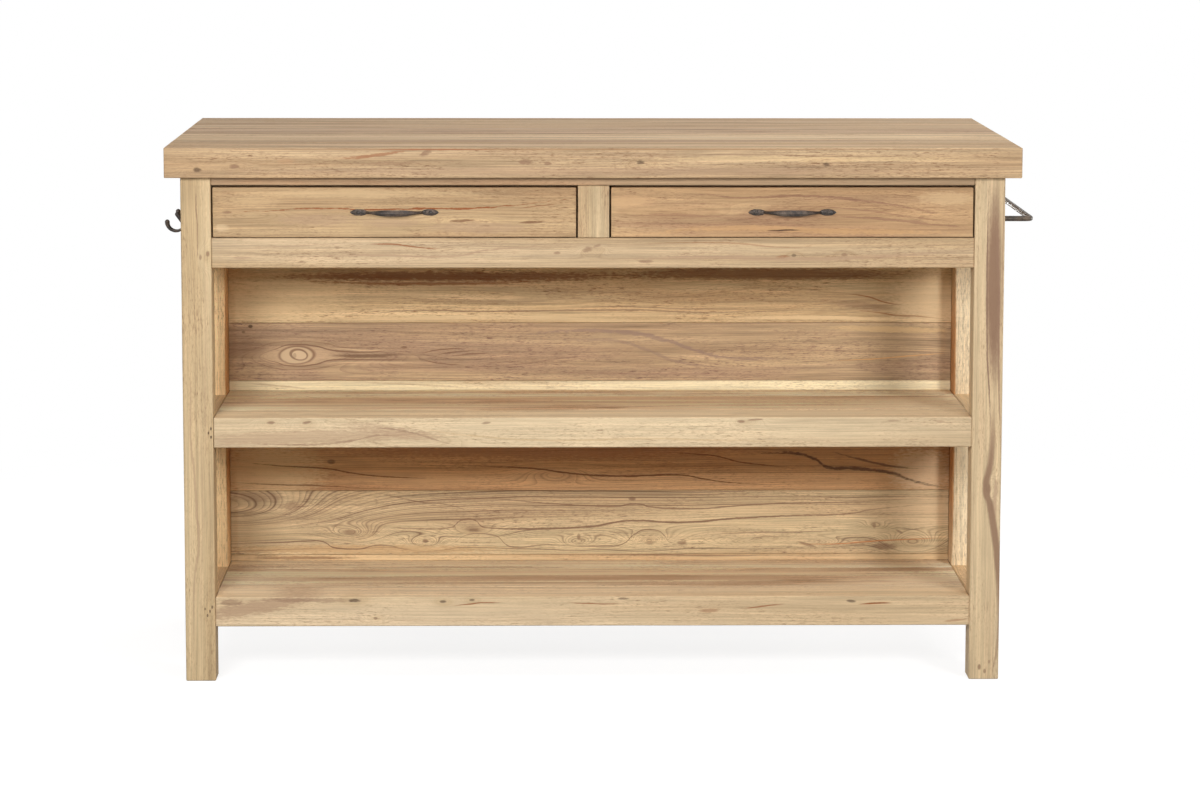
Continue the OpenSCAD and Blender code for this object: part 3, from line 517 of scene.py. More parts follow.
def board_for(node, name, lie, look, body="frame", slot="teak_pale", shows=None, section=None, **shape):
    """A plank of teak in the place of one solid, square in section unless a section is given."""
    axis = LIES[lie][0]
    low, high = box_of(node, lie, shows)
    finish = teak(f"teak_{node}", lie, (low, high), **look)
    if not section:
        a, b = [n for n in range(3) if n != axis]
        section = [(low[a], low[b]), (high[a], low[b]), (high[a], high[b]), (low[a], high[b])]
    mesh = plank(name, axis, section, low[axis], high[axis], **shape)
    settle(mesh, name, finish, node, body)


leg_looks = {
    "leg_front_left": dict(
        seed=21, pith=(-0.3, -0.12), ring=0.011, pale=(211, 187, 148), tan=(192, 166, 127), lines=0.3, stain=0.3,
        brown=(175, 149, 114),
        knots=[(711, -638, 16, 9, 2.5), (118, -636, 12, 7, 2)],
        marks=[
            (714, -632, 6, 4, 0, 3, UMBER, 0.7), (708, -644, 6, 3, 0, 3, UMBER, 0.6),
            (424, -630, 3, 1.6, 0, 1, SOOT, 0.8), (410, -630, 3, 1.6, 0, 1, SOOT, 0.8),
            (417, -634, 2.4, 1.5, 0, 1, SOOT, 0.7), (125, -631, 3, 1.6, 0, 1, SOOT, 0.7),
            (118, -635, 3, 1.6, 0, 1, SOOT, 0.7), (111, -639, 3, 1.6, 0, 1, SOOT, 0.7),
            (122, -643, 2.4, 1.4, 0, 1, SOOT, 0.6)],
        veins=[
            ([(838, -648), (796, -650), (758, -648.5), (700, -650)], 3, 3, UMBER, 0.75),
            ([(566, -665.7), (500, -662), (424, -663.5), (347, -658), (281, -655), (232, -652), (204, -655.6),
              (128, -662), (7, -662.5)], 5, 4, GREY_BROWN, 0.6),
            ([(829, -634), (731, -637), (621, -636.5), (456, -639), (292, -635)], 4, 4, GREY_BROWN, 0.35),
            ([(500, -648), (300, -645), (100, -650), (10, -648)], 4, 4, GREY_BROWN, 0.3)]),
    "leg_front_right": dict(
        seed=22, pith=(0.3, -0.12), ring=0.01, lines=0.3, stain=0.2, pale=(222, 200, 164), tan=(206, 182, 145),
        brown=(172, 141, 113), line=(140, 108, 84),
        knots=[(322, 655, 26, 12, -2.5), (21, 644, 9, 6, 2.5)],
        marks=[
            (21, 644, 6, 3.6, 0, 2, UMBER, 0.75), (14, 653, 5, 3, 0, 2, UMBER, 0.65),
            (30, 660, 4, 2.6, 0, 2, UMBER, 0.5), (322, 656, 10, 5, 0, 4, UMBER, 0.55)],
        veins=[
            ([(850, 660), (760, 659), (680, 659), (600, 660), (520, 661), (470, 662)], 31, 2, (133, 103, 82), 0.95),
            ([(480, 661), (430, 660.5), (393, 660), (350, 655), (325, 651), (300, 657), (261, 664), (202, 671.5),
              (120, 676), (60, 674)], 16, 2, (138, 108, 86), 0.9),
            ([(345, 663), (325, 667), (300, 666), (270, 670)], 8, 2, (176, 146, 120), 0.7),
            ([(845, 649), (731, 647.5), (648, 648), (565, 649), (482, 654), (421, 656),
              (372, 655)], 4, 3, (132, 103, 84), 0.9),
            ([(830, 666), (740, 664), (648, 667), (565, 668), (482, 670), (421, 673),
              (360, 675)], 5, 3, (140, 110, 90), 0.8),
            ([(840, 674), (700, 673), (560, 674.5)], 3, 2, (146, 116, 92), 0.6),
            ([(123, 675), (68, 674), (29, 668.7), (1, 661.6)], 5, 4, (150, 120, 96), 0.6)]),
    "leg_rear_left": dict(seed=23, pith=(0.3, 0.1), ring=0.009, lines=0.35),
    "leg_rear_right": dict(seed=24, pith=(-0.12, 0.1), ring=0.008, heart=0.14, blend=0.01, lines=0.4),
}
for node, look in leg_looks.items():
    board_for(node, f"{node}_post", "post", look)


# The front rails: a thin rail under the worktop, lapped into the front legs, a deeper one under
# the drawers, tenoned into them, and the short stile that stands between the two and parts the
# drawers.
IN_X = (-626, 626)
IN_Y = (-275, 275)
front_looks = {
    "front_top_rail": dict(seed=31, pith=(0.2, -0.2), ring=0.006, pale=(172, 145, 114), tan=(156, 127, 97)),
    "drawer_rail": dict(
        seed=32, pith=(0.25, -0.12), ring=0.0095, waver=0.012, pale=(199, 174, 140), tan=(180, 153, 117),
        lines=0.4, fibre=0.55, stain=0.4, brown=(165, 136, 105),
        knots=[(-7, 718, 18, 8, 2.2), (9, 722, 12, 5, 1.6), (329, 711, 12, 6, 1.8), (412, 712, 14, 7, 2.2)],
        marks=[
            (-10, 721, 10, 5, 0.2, 5, UMBER, 0.55), (6, 727, 8, 3, 0.3, 4, UMBER, 0.5),
            (-60, 715, 7, 3, 0, 3, UMBER, 0.6), (86, 701, 14, 3.4, 0, 4, UMBER, 0.6),
            (310, 708, 14, 4, 0.1, 4, RUST, 0.55), (329, 711, 5, 4, 0, 3, SOOT, 0.55),
            (412, 712, 7, 4, 0, 3, UMBER, 0.55), (-577, 707, 18, 3, 0, 3, GREY_BROWN, 0.5)],
        veins=[
            ([(-378, 724), (-361, 730), (-339, 730), (-307, 727), (-274, 723), (-241, 722)], 3.4, 3, RUST, 0.8),
            ([(-520, 708), (-416, 711), (-334, 711), (-252, 709), (-175, 720), (-87, 726),
              (-32, 729)], 4, 4, GREY_BROWN, 0.75),
            ([(9, 704), (92, 706), (174, 708), (340, 705), (450, 708), (561, 715),
              (624, 721)], 9, 6, GREY_BROWN, 0.7),
            ([(60, 728), (200, 732), (334, 724), (362, 729), (392, 730)], 3, 3, RUST, 0.4),
            ([(-600, 722), (-480, 727), (-380, 735)], 3, 3, GREY_BROWN, 0.4)]),
}
for node, look in front_looks.items():
    board_for(node, f"{node}_board", "upright", look, shows=IN_X)
look = dict(seed=33, pith=(0.3, -0.1), ring=0.01, lines=0.3, pale=(202, 179, 143), tan=(185, 160, 123))
board_for("drawer_stile", "drawer_stile_block", "post", look, shows=(740, 826), ease=0.0012)


# The aprons: thinner boards that close the two ends and the back of the drawer space. They are
# tenoned into the legs, and take the screws that hold the worktop.
apron_looks = {
    "rear_apron": dict(
        seed=41, pith=(0.16, 0.05), ring=0.0075, heart=0.12, blend=0.03, lines=0.45,
        knots=[(-250, 765, 40, 14, 6), (330, 742, 26, 10, 4)],
        marks=[(-250, 765, 8, 4, 0, 3, SOOT, 0.6), (330, 742, 6, 3, 0, 3, RUST, 0.6)]),
    "side_apron_left": dict(seed=42, pith=(0.18, -0.06), ring=0.0075, heart=0.13, blend=0.04, lines=0.4),
    "side_apron_right": dict(
        seed=43, pith=(-0.14, -0.08), ring=0.008, heart=0.1, blend=0.03, lines=0.45,
        knots=[(-120, 770, 30, 12, 5)], marks=[(-120, 770, 6, 4, 0, 3, SOOT, 0.6)]),
}
for node, look in apron_looks.items():
    lie, shows = ("upright", IN_X) if node == "rear_apron" else ("end", IN_Y)
    board_for(node, f"{node}_board", lie, look, slot="teak_tan", shows=shows)


# The shelves: a thick plank along each side of the island, tenoned into the legs, with a ledge
# along its inner edge, and a rail across each end. Three boards lie on the ledges between them.
def ledge_plank(node):
    """The section of an edge plank: full height outside, and a ledge for the boards inside."""
    board_t = 0.020
    rebate = 0.015
    low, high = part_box(node)
    section = [(low.y, low.z), (high.y, low.z), (high.y, high.z - board_t),
               (high.y - rebate, high.z - board_t), (high.y - rebate, high.z), (low.y, high.z)]
    if "rear" in node:
        section = [(low.y + high.y - y, z) for y, z in reversed(section)]
    return section


edge_looks = {
    "mid_shelf_front_rail": dict(
        seed=51, bleached=0.3, pith=(0.16, -0.2), ring=0.0095, pale=(213, 191, 156), tan=(197, 173, 138),
        lines=0.3, waver=0.016, stain=0.15, brown=(180, 152, 120),
        knots=[(-532, 434, 18, 8, 3), (-470, 434, 18, 8, 3.5), (250, 436, 22, 8, 3), (-300, 408, 90, 14, 2.5)],
        marks=[
            (-470, 410, 250, 16, 0.03, 14, GREY_BROWN, 0.55), (-330, 418, 100, 12, -0.16, 12, GREY_BROWN, 0.45),
            (-531, 434, 8, 3.2, 0, 3, UMBER, 0.7), (-472, 434, 9, 3, 0.15, 3, UMBER, 0.7),
            (-177, 433, 10, 2.6, 0.1, 3, UMBER, 0.6), (244, 435, 8, 3, 0, 3, UMBER, 0.7),
            (268, 438, 16, 2.4, 0.05, 3, UMBER, 0.65), (497, 436, 14, 2.6, 0, 3, UMBER, 0.45),
            (573, 435, 10, 3, 0, 3, GREY_BROWN, 0.5)],
        veins=[
            ([(-574, 402), (-483, 397), (-397, 404), (-333, 413), (-296, 405)], 4, 5, UMBER, 0.45),
            ([(-390, 428), (-314, 420), (-250, 402), (-215, 393)], 4, 5, UMBER, 0.4),
            ([(-380, 436), (-290, 425), (-200, 412), (-60, 404), (86, 406.7), (200, 403.8), (292, 401.8),
              (384, 397)], 4, 4, (196, 166, 126), 0.5)]),
    "mid_shelf_rear_rail": dict(seed=52, pith=(0.2, 0.2), ring=0.008, lines=0.4),
    "lower_shelf_front_rail": dict(
        seed=53, bleached=0.2, pith=(-0.15, -0.18), ring=0.0095, pale=(220, 196, 161), tan=(203, 177, 140),
        lines=0.3, waver=0.018, stain=0.2, brown=(186, 157, 123),
        knots=[(-397, 136, 22, 8, 3), (-249, 133, 14, 6, 2.5), (-201, 136, 12, 5, 2), (-361, 105, 14, 7, 2)],
        marks=[
            (-560, 124, 130, 15, 0.18, 12, GREY_BROWN, 0.75), (-600, 133, 22, 7, 0, 5, UMBER, 0.55),
            (-470, 136, 90, 5, -0.01, 6, UMBER, 0.5), (-396, 135.5, 12, 3.4, 0, 3, SOOT, 0.75),
            (-249, 133.6, 7, 3, 0, 2, SOOT, 0.7), (-201, 136.2, 6, 2.4, 0, 2, SOOT, 0.65),
            (-361, 105.6, 4, 3, 0, 2, UMBER, 0.6), (50, 138, 12, 2.2, 0, 2, SOOT, 0.6),
            (429, 133, 10, 3, -0.1, 2, SOOT, 0.7), (192, 117.3, 20, 4, 0, 4, RUST, 0.45)],
        veins=[
            ([(-238, 126.2), (-204, 129.3), (-185, 131.5), (-149, 131.4)], 3, 2, RUST, 0.85),
            ([(-50, 131), (-5, 130), (23, 129), (55, 131.6)], 3, 2, RUST, 0.75),
            ([(246, 120), (280, 124.4), (320, 129)], 3.4, 2, RUST, 0.8),
            ([(438, 127), (464, 129.2), (500, 130)], 4, 2, RUST, 0.95),
            ([(580, 98), (626, 103)], 5, 3, RUST, 0.45)]),
    "lower_shelf_rear_rail": dict(seed=54, pith=(0.14, 0.2), ring=0.008, lines=0.4),
}
for node, look in edge_looks.items():
    board_for(node, f"{node}_plank", "upright", look, shows=IN_X, section=ledge_plank(node))


def refinish(node, finish):
    """A new finish on a solid that keeps its shape."""
    for slot in nodes[node].material_slots:
        slot.material = finish


def refinish_teak(node, lie, shows=None, **look):
    refinish(node, teak(f"teak_{node}", lie, box_of(node, lie, shows), **look))


for number, node in enumerate(["mid_side_rail_left", "mid_side_rail_right",
                               "lower_side_rail_left", "lower_side_rail_right"]):
    refinish_teak(node, "end", IN_Y, seed=55 + number, pith=(0.1 + 0.03 * number, -0.1), ring=0.008,
                  heart=0.09, blend=0.03, lines=0.4, bleached=0.22)

# The upward faces of the shelf boards are painted paler, as painted light from above, as are those of the shelf
# rails, the side rails and the worktop's front board.
shelf_looks = {
    "mid_shelf_board_1": dict(
        seed=61, bleached=0.26, pith=(0.22, -0.1), ring=0.0095, pale=(248, 224, 186), tan=(230, 202, 164),
        lines=0.5, fibre=0.6, stain=1, brown=(198, 163, 127),
        veins=[
            ([(-626, -112), (-300, -114), (100, -108), (626, -112)], 50, 12, (196, 160, 124), 0.5),
            ([(-626, -150), (-200, -146), (300, -152), (626, -150)], 18, 8, (196, 162, 128), 0.4),
            ([(-500, -210), (-300, -214), (-100, -208)], 26, 8, (186, 152, 118), 0.5)],
        marks=[(30, -214, 34, 12, 0, 10, UMBER, 0.45), (520, -150, 120, 50, 0, 20, (236, 210, 174), 0.5)]),
    "mid_shelf_board_2": dict(
        seed=62, bleached=0.2, pith=(-0.2, -0.12), ring=0.0095, pale=(249, 231, 197), tan=(232, 209, 172),
        lines=0.45, fibre=0.7, stain=0.9, brown=(204, 176, 140)),
    "mid_shelf_board_3": dict(seed=63, pith=(0.2, -0.1), ring=0.0095, lines=0.4),
    "lower_shelf_board_1": dict(
        seed=64, bleached=0.23, pith=(-0.22, -0.1), ring=0.0095, pale=(245, 226, 190), tan=(226, 201, 166),
        lines=0.5, fibre=0.6, stain=1, brown=(190, 160, 128),
        veins=[
            ([(-626, -168), (-300, -172), (100, -166), (626, -170)], 60, 14, (188, 152, 118), 0.6),
            ([(-626, -205), (-200, -208), (300, -203), (626, -206)], 18, 6, (176, 140, 106), 0.6),
            ([(-626, -120), (-200, -126), (300, -122), (626, -124)], 34, 10, (234, 204, 170), 0.5)],
        marks=[(120, -150, 90, 14, 0, 10, UMBER, 0.4), (520, -190, 140, 40, 0, 20, (236, 210, 174), 0.45)]),
    "lower_shelf_board_2": dict(
        seed=65, bleached=0.23, pith=(0.2, -0.1), ring=0.0095, pale=(245, 231, 200), tan=(227, 206, 175),
        lines=0.5, fibre=0.7, stain=0.9, brown=(194, 170, 140)),
    "lower_shelf_board_3": dict(seed=66, pith=(-0.2, -0.1), ring=0.0095, lines=0.4),
}
for node, look in shelf_looks.items():
    board_for(node, f"{node}_plank", "flat", look, ease=0.0012)


# The divider posts: two rough-sawn posts of orange-tan teak at half depth, housed on the shelf
# rails and tenoned up into the runners. The divider boards are let into grooves in them.
CUT_EDGE = (178, 118, 62)
post_looks = {
    "divider_post_left": dict(
        seed=71, pith=(0.2, -0.15), ring=0.008, pale=(255, 224, 173), tan=(255, 208, 150),
        veins=[([(120, -627), (400, -626.5), (710, -627)], 5, 2, CUT_EDGE, 0.85)]),
    "divider_post_right": dict(
        seed=72, pith=(-0.2, -0.15), ring=0.008, pale=(240, 220, 184), tan=(225, 199, 158),
        veins=[([(120, 627), (400, 626.5), (710, 627)], 6, 2, CUT_EDGE, 0.85)]),
}
for node, look in post_looks.items():
    refinish_teak(node, "post", lines=0.35, fibre=0.45, sawn=1, **look)


# The divider boards: one stack above the middle shelf and one below it, each with its narrow
# bottom board, a middle board with knots and swirling grain, and a browner board on top. Dark marks along the upper
# edge of each top board, just under the rail or shelf above it, add painted shade.
divider_looks = {
    "upper_divider_board_1": dict(
        seed=81, pith=(0.25, 0.1), ring=0.01, pale=(247, 232, 194), tan=(232, 215, 175), lines=0.3,
        veins=[
            ([(-600, 455), (-540, 450), (-480, 444)], 4, 3, GREY_BROWN, 0.5),
            ([(-420, 457), (-300, 452), (-200, 445)], 4, 3, GREY_BROWN, 0.4)]),
    "upper_divider_board_2": dict(
        seed=82, pith=(0.24, 0.14), ring=0.0085, waver=0.022, lines=0.55, fibre=0.6, stain=0.55,
        pale=(200, 172, 134), tan=(183, 153, 119), brown=(161, 133, 109), line=(122, 92, 80),
        knots=[(-509, 504, 120, 24, 5), (-400, 506, 150, 12, 2), (60, 505, 230, 22, 2.5)],
        marks=[
            (-507, 504, 92, 19, 0, 3, (214, 182, 146), 0.6), (-508, 504, 35, 18, 0.03, 1.4, UMBER, 0.8),
            (-509, 503.4, 30, 15.4, 0.03, 1.4, (222, 194, 156), 0.75),
            (-505, 504.8, 17.6, 11.6, -0.1, 1.4, UMBER, 0.8),
            (-504, 504, 13.4, 8.4, -0.1, 1.2, (220, 192, 156), 0.9), (-512, 503, 3.4, 5, 0, 1, UMBER, 0.35),
            (-588, 554, 5, 3.6, 0, 2, SOOT, 0.75), (-600, 544, 4, 3, 0, 2, SOOT, 0.4),
            (-323, 517, 7, 3, 0, 3, UMBER, 0.8), (520, 548, 130, 7, -0.03, 4, (212, 180, 134), 0.85),
            (-600, 516, 46, 22, 0, 14, UMBER, 0.4)],
        veins=[
            ([(-575, 502), (-543, 515), (-508, 522.5), (-480, 520), (-436, 511), (-392, 509), (-340, 515),
              (-318, 517)], 3, 1.5, UMBER, 0.9),
            ([(-575, 502), (-543, 491), (-508, 484.5), (-480, 487), (-436, 496), (-384, 495.6),
              (-314, 496)], 3, 1.5, UMBER, 0.85),
            ([(-610, 500), (-575, 517), (-520, 528), (-470, 526), (-420, 517), (-350, 521)], 2.2, 2, UMBER, 0.5),
            ([(-610, 506), (-575, 490), (-520, 479), (-470, 481), (-420, 489), (-350, 490)], 2.2, 2, UMBER, 0.5),
            ([(-456, 503), (-400, 502), (-340, 504), (-320, 509)], 8, 3, (124, 94, 72), 0.85),
            ([(-462, 517), (-420, 514), (-380, 512), (-330, 520)], 3.6, 2.5, (218, 186, 148), 0.65),
            ([(-466, 490), (-420, 491), (-360, 491), (-290, 489)], 4.4, 2.5, (218, 186, 148), 0.65),
            ([(-300, 500), (-286, 508), (-262, 513), (-215, 516)], 3, 2, UMBER, 0.85),
            ([(-300, 500), (-284, 494), (-258, 489), (-215, 486)], 3, 2, UMBER, 0.8),
            ([(-272, 501), (-250, 507), (-190, 512)], 3, 2, UMBER, 0.8),
            ([(-244, 500), (-225, 504), (-170, 507)], 3, 2, UMBER, 0.75),
            ([(-150, 536), (-100, 541), (-20, 546.5), (41, 545), (128, 530), (181, 512), (259, 497),
              (364, 498)], 9, 9, (140, 114, 106), 0.55),
            ([(-60, 530), (30, 530), (100, 512), (150, 492), (240, 480)], 7, 8, (140, 114, 104), 0.4),
            ([(412, 492.6), (499, 497), (565, 502.5), (626, 507)], 3, 2, (222, 170, 112), 0.7)]),
    "upper_divider_board_3": dict(
        seed=83, pith=(0.24, 0.12), ring=0.01, waver=0.02, lines=0.35, fibre=0.6, stain=0.6,
        pale=(218, 192, 149), tan=(200, 170, 128), brown=(179, 144, 105), line=(128, 92, 64),
        knots=[(330, 640, 150, 30, 2), (-80, 600, 200, 22, -1.5), (480, 590, 90, 12, 2.5)],
        marks=[
            (-540, 610, 150, 60, 0, 30, (228, 198, 152), 0.5), (590, 600, 90, 70, 0, 30, (234, 206, 164), 0.6),
            # The two long dark marks across the top of this board, just under the drawer rail, are partly a real
            # reddish-brown stripe and partly painted shade, deepened to stand for the rail's shadow.
            (470, 590, 70, 8, -0.1, 6, UMBER, 0.45), (-230, 641, 380, 11, 0, 12, (130, 78, 46), 0.75),
            (300, 645, 300, 14, 0, 12, (130, 84, 52), 0.65)],
        veins=[
            ([(-626, 567), (-340, 567), (-167, 570), (-2, 565), (85, 563),
              (300, 562)], 10, 3, (224, 196, 152), 0.55),
            ([(-600, 600), (-400, 604), (-200, 597), (0, 601), (200, 598)], 8, 9, UMBER, 0.25),
            ([(-560, 586), (-340, 592), (-150, 588), (60, 592), (240, 590)], 4, 6, (236, 206, 156), 0.5),
            ([(-514, 574), (-384, 576), (-276, 582), (-211, 580), (-2, 582), (85, 582), (180, 578), (259, 578.5),
              (346, 582), (416, 584)], 3.4, 3, UMBER, 0.7),
            ([(-60, 587), (60, 588), (180, 584), (300, 588)], 3, 3, UMBER, 0.5),
            ([(200, 566), (346, 569), (500, 566), (620, 562)], 9, 3, (234, 204, 158), 0.7),
            ([(442, 610), (477, 606), (512, 595), (545, 590)], 3.4, 2, RUST, 0.75),
            ([(459, 582), (499, 577.5), (534, 572), (564, 571), (608, 566.5)], 3.4, 3, RUST, 0.6),
            ([(-535, 634), (-427, 630), (-298, 628), (-146, 630), (-37, 639)], 7, 5, (140, 82, 48), 0.7)]),
    "lower_divider_board_1": dict(
        seed=84, pith=(0.25, 0.1), ring=0.01, pale=(226, 196, 152), lines=0.4,
        marks=[(-500, 147, 110, 4, 0, 3, (120, 76, 46), 0.6)],
        veins=[([(-1, 149.7), (108, 151.6), (217, 150), (348, 151)], 3, 2, UMBER, 0.6)]),
    "lower_divider_board_2": dict(
        seed=85, pith=(-0.26, 0.12), ring=0.0095, waver=0.034, lines=1, fibre=0.5, stain=0.35,
        pale=(223, 200, 158), tan=(205, 177, 137), brown=(181, 155, 122), line=(116, 86, 68),
        knots=[
            (-640, 236, 190, 46, 9), (-417, 192, 52, 17, 4.5), (-287, 177, 34, 13, 3.5),
            (-200, 196, 60, 15, 2.2), (-20, 178, 30, 10, 2.5), (104, 178, 62, 18, 2.5), (104, 174, 22, 9, 3),
            (300, 172, 90, 10, 3.5), (392, 172, 40, 8, 2), (560, 172, 46, 20, 4.5), (496, 202, 22, 9, 1.5)],
        marks=[
            (-417, 192, 14, 6, 0, 3, UMBER, 0.5), (-287, 176.6, 7, 4, 0, 2, UMBER, 0.75),
            (-520, 238, 26, 9, 0, 8, UMBER, 0.45), (-580, 255, 70, 10, 0, 10, UMBER, 0.4),
            (104, 173, 9, 5, 0, 3, UMBER, 0.4), (160, 173, 10, 4, 0, 3, UMBER, 0.65),
            (514, 166, 26, 8, 0, 8, UMBER, 0.65), (378, 170, 22, 3, -0.3, 3, UMBER, 0.6),
            (496, 203, 4, 6, 0, 2, UMBER, 0.6), (540, 192, 8, 3, -0.5, 2, UMBER, 0.6),
            (73, 251, 8, 5, 0, 3, UMBER, 0.75), (-20, 184, 4, 7, 0, 2, UMBER, 0.6),
            (-400, 162, 300, 10, 0, 6, (206, 164, 116), 0.5), (580, 230, 100, 40, 0, 20, (232, 204, 164), 0.4)],
        veins=[
            ([(-417, 266), (-396, 240), (-365, 209.4), (-339, 200.6), (-270, 198.3), (-240, 201.2), (-214, 215.5),
              (-200, 213.3), (-183, 200.2), (-122, 197.9), (-1, 201.9), (82, 212.5), (143, 208.9), (260, 216.4),
              (347, 220.5), (435, 222.5), (491, 231), (627, 243.8)], 4.4, 3, UMBER, 0.9),
            ([(-300, 263), (-231, 254.6), (-166, 251.4), (-79, 243.4), (-1, 238.8), (42, 237.4), (77, 241.7),
              (103, 236.4), (173, 233.1), (243, 237.3), (334, 242.3), (435, 244.2), (566, 250.4),
              (627, 256.8)], 3.4, 2.5, UMBER, 0.8),
            ([(-624, 175.4), (-555, 174.4), (-477, 177.2), (-447, 165.4), (-408, 162.7), (-365, 169.5),
              (-330, 163.7), (-296, 160.6)], 3, 2, UMBER, 0.85),
            ([(-383, 265.8), (-339, 254.8), (-296, 246), (-253, 241.6), (-201, 222)], 2.6, 2.5, UMBER, 0.7),
            ([(-480, 264), (-462, 248), (-462, 223), (-478, 206)], 2.4, 2, UMBER, 0.5),
            ([(-261, 161.4), (-235, 174.3), (-200, 189.4), (-166, 186.3), (-131, 165.3), (-79, 169.5),
              (-9, 165)], 2.6, 2, UMBER, 0.7),
            ([(-60, 170), (40, 167), (78, 188.6), (104, 196.4), (130, 185.4), (146, 172),
              (172, 174)], 2.8, 2, UMBER, 0.8),
            ([(170, 176), (195, 186), (260, 190), (369, 192), (480, 196)], 2.4, 2, UMBER, 0.6),
            ([(262, 170), (278, 177), (304, 183.6), (361, 181.3)], 2.2, 2, UMBER, 0.55),
            ([(355, 170), (417, 170.2), (500, 175.6), (627, 181.4)], 3, 2, (196, 120, 66), 0.75),
            ([(-1, 258.4), (86, 258.2), (195, 257.9), (304, 264)], 3, 2, UMBER, 0.6)]),
    "lower_divider_board_3": dict(
        seed=86, pith=(0.28, 0.12), ring=0.0105, waver=0.034, lines=0.6, stain=0.5, pale=(218, 174, 127),
        tan=(199, 153, 107), brown=(173, 125, 85), line=(116, 80, 56),
        knots=[(-60, 300, 60, 18, 3)],
        marks=[
            (-560, 300, 120, 60, 0, 25, (230, 200, 154), 0.6), (-450, 317, 9, 5, 0, 3, SOOT, 0.55),
            # The broad dark mark across the top of this board, just under the middle shelf, is partly the board's
            # own darker top and partly painted shade that stands for the shelf's shadow.
            (-100, 340, 420, 26, 0, 16, (140, 84, 50), 0.5), (580, 300, 70, 50, 0, 20, (228, 202, 166), 0.6)],
        veins=[
            ([(-607, 316), (-534, 309.5), (-461, 305), (-409, 296), (-365, 291),
              (-253, 287)], 3.4, 3, (110, 66, 40), 0.8),
            ([(-625, 281.5), (-556, 277), (-469, 274.7), (-383, 268.5)], 3, 3, (110, 66, 40), 0.7),
            ([(-262, 316.7), (-188, 308.7), (-123, 306.4), (-1, 293), (64, 290.8), (151, 292.8), (195, 286),
              (242, 279.5), (334, 275)], 4, 3, (104, 60, 38), 0.85),
            ([(273, 330), (347, 331.6), (391, 320.6), (417, 305.3), (460, 303.9), (522, 296.3), (566, 281),
              (627, 268)], 8, 5, (90, 64, 50), 0.85),
            ([(129, 332), (207, 327.5), (268, 314.3), (356, 305.4)], 3, 3, (104, 62, 40), 0.75),
            ([(417, 334.5), (478, 318), (530, 307), (578, 303)], 5, 4, (84, 60, 48), 0.7)]),
}
for node, look in divider_looks.items():
    board_for(node, f"{node}_panel", "upright", look, slot="teak_brown", shows=IN_X, ease=0.0009, wander=0.0003)


# The runners: grooved bearers of plain teak that carry the drawers, tenoned into the drawer rail
# in front and the apron behind. The middle one serves both drawers.
for number, node in enumerate(["left_runner", "center_runner", "right_runner"]):
    refinish_teak(node, "end", seed=91 + number, pith=(0.1, -0.08), ring=0.008, lines=0.35, sawn=0.4,
                  pale=(214, 184, 142), tan=(194, 160, 116))


# The worktop: five thick boards glued edge to edge, oiled thinly, with eased edges. Their ends
# show the year rings, and the front one has small knots and reddish streaks along its edge.
top_looks = [
    dict(
        seed=11, bleached=0.22, pith=(0.3, 0.34), ring=0.009, lines=0.45, stain=0.7, waver=0.014,
        pale=(193, 167, 132), tan=(177, 147, 111), brown=(157, 130, 102), fibre=0.75,
        knots=[(-645, 854, 22, 8, 3), (-585, 859, 24, 8, 3), (76, 866, 24, 8, 3), (379, 863, 28, 9, 3)],
        marks=[
            (-645, 854, 9, 5, 0, 5, SOOT, 0.75), (-585, 859, 10, 5, 0, 6, UMBER, 0.7),
            (76, 866, 8, 4, 0, 5, SOOT, 0.75), (379, 863, 8, 3.6, 0, 5, SOOT, 0.7),
            (-112, 867, 14, 6, 0, 8, UMBER, 0.65), (-75, 864, 8, 3.4, 0, 4, UMBER, 0.65),
            (-274, 881, 12, 5, 0.3, 6, UMBER, 0.7), (-330, 864, 60, 4, 0.02, 5, UMBER, 0.35),
            (-500, 868, 18, 5, 0, 5, (190, 144, 106), 0.3), (0, 851, 700, 9, 0, 8, GREY_BROWN, 0.45),
            (350, 872, 300, 6, 0, 6, (222, 192, 146), 0.4)],
        veins=[
            ([(-720, 887.3), (-200, 886.8), (300, 887.4), (720, 887)], 3, 1, (150, 114, 82), 0.65),
            ([(-420, 873), (-385, 874), (-345, 879), (-309, 884), (-290, 886)], 7, 5, (150, 100, 68), 0.75),
            ([(-370, 886), (-300, 887), (-200, 887), (-150, 886)], 3, 3, (150, 96, 66), 0.8),
            ([(100, 876), (260, 879), (400, 876), (560, 878)], 3.4, 4, UMBER, 0.4)],
        top_veins=[
            ([(-700, -196), (-200, -204), (300, -198), (700, -204)], 66, 8, (158, 128, 101), 0.75),
            ([(-700, -300), (-200, -292), (300, -296), (700, -290)], 60, 14, (208, 180, 146), 0.45)]),
    dict(
        seed=12, pith=(0.3, -0.05), ring=0.008, lines=0.35, fibre=0.6, stain=0.9, pale=(238, 209, 168),
        tan=(221, 190, 151), brown=(188, 157, 124),
        veins=[
            ([(-700, -118), (-200, -112), (300, -116), (700, -110)], 26, 6, (236, 212, 180), 0.6),
            ([(-700, -178), (-100, -176), (500, -179), (700, -177)], 14, 3, (158, 130, 104), 0.7)]),
    dict(
        seed=13, pith=(-0.25, -0.1), ring=0.008, lines=0.4, fibre=0.6, stain=1, pale=(223, 192, 155),
        tan=(205, 172, 137), brown=(172, 139, 111),
        veins=[
            ([(-700, 42), (-100, 40), (400, 44), (700, 42)], 16, 6, (172, 142, 114), 0.5),
            ([(-700, 80), (-100, 84), (400, 82), (700, 84)], 20, 6, (216, 190, 160), 0.5),
            ([(-700, 18), (-400, 16), (-200, 20)], 22, 6, (166, 136, 110), 0.4)]),
    dict(
        seed=14, pith=(0.22, 0.02), ring=0.008, lines=0.35, stain=0.9, pale=(227, 198, 161), tan=(211, 179, 141),
        brown=(180, 147, 116)),
    dict(seed=15, pith=(-0.2, 0.05), ring=0.008, lines=0.4, stain=0.7, pale=(223, 194, 157), tan=(207, 174, 139)),
]
for number, look in enumerate(top_looks, 1):
    lie = "upright" if number == 1 else "flat"
    board_for(f"top_board_{number}", f"worktop_board_{number}", lie, look, ease=0.0014)


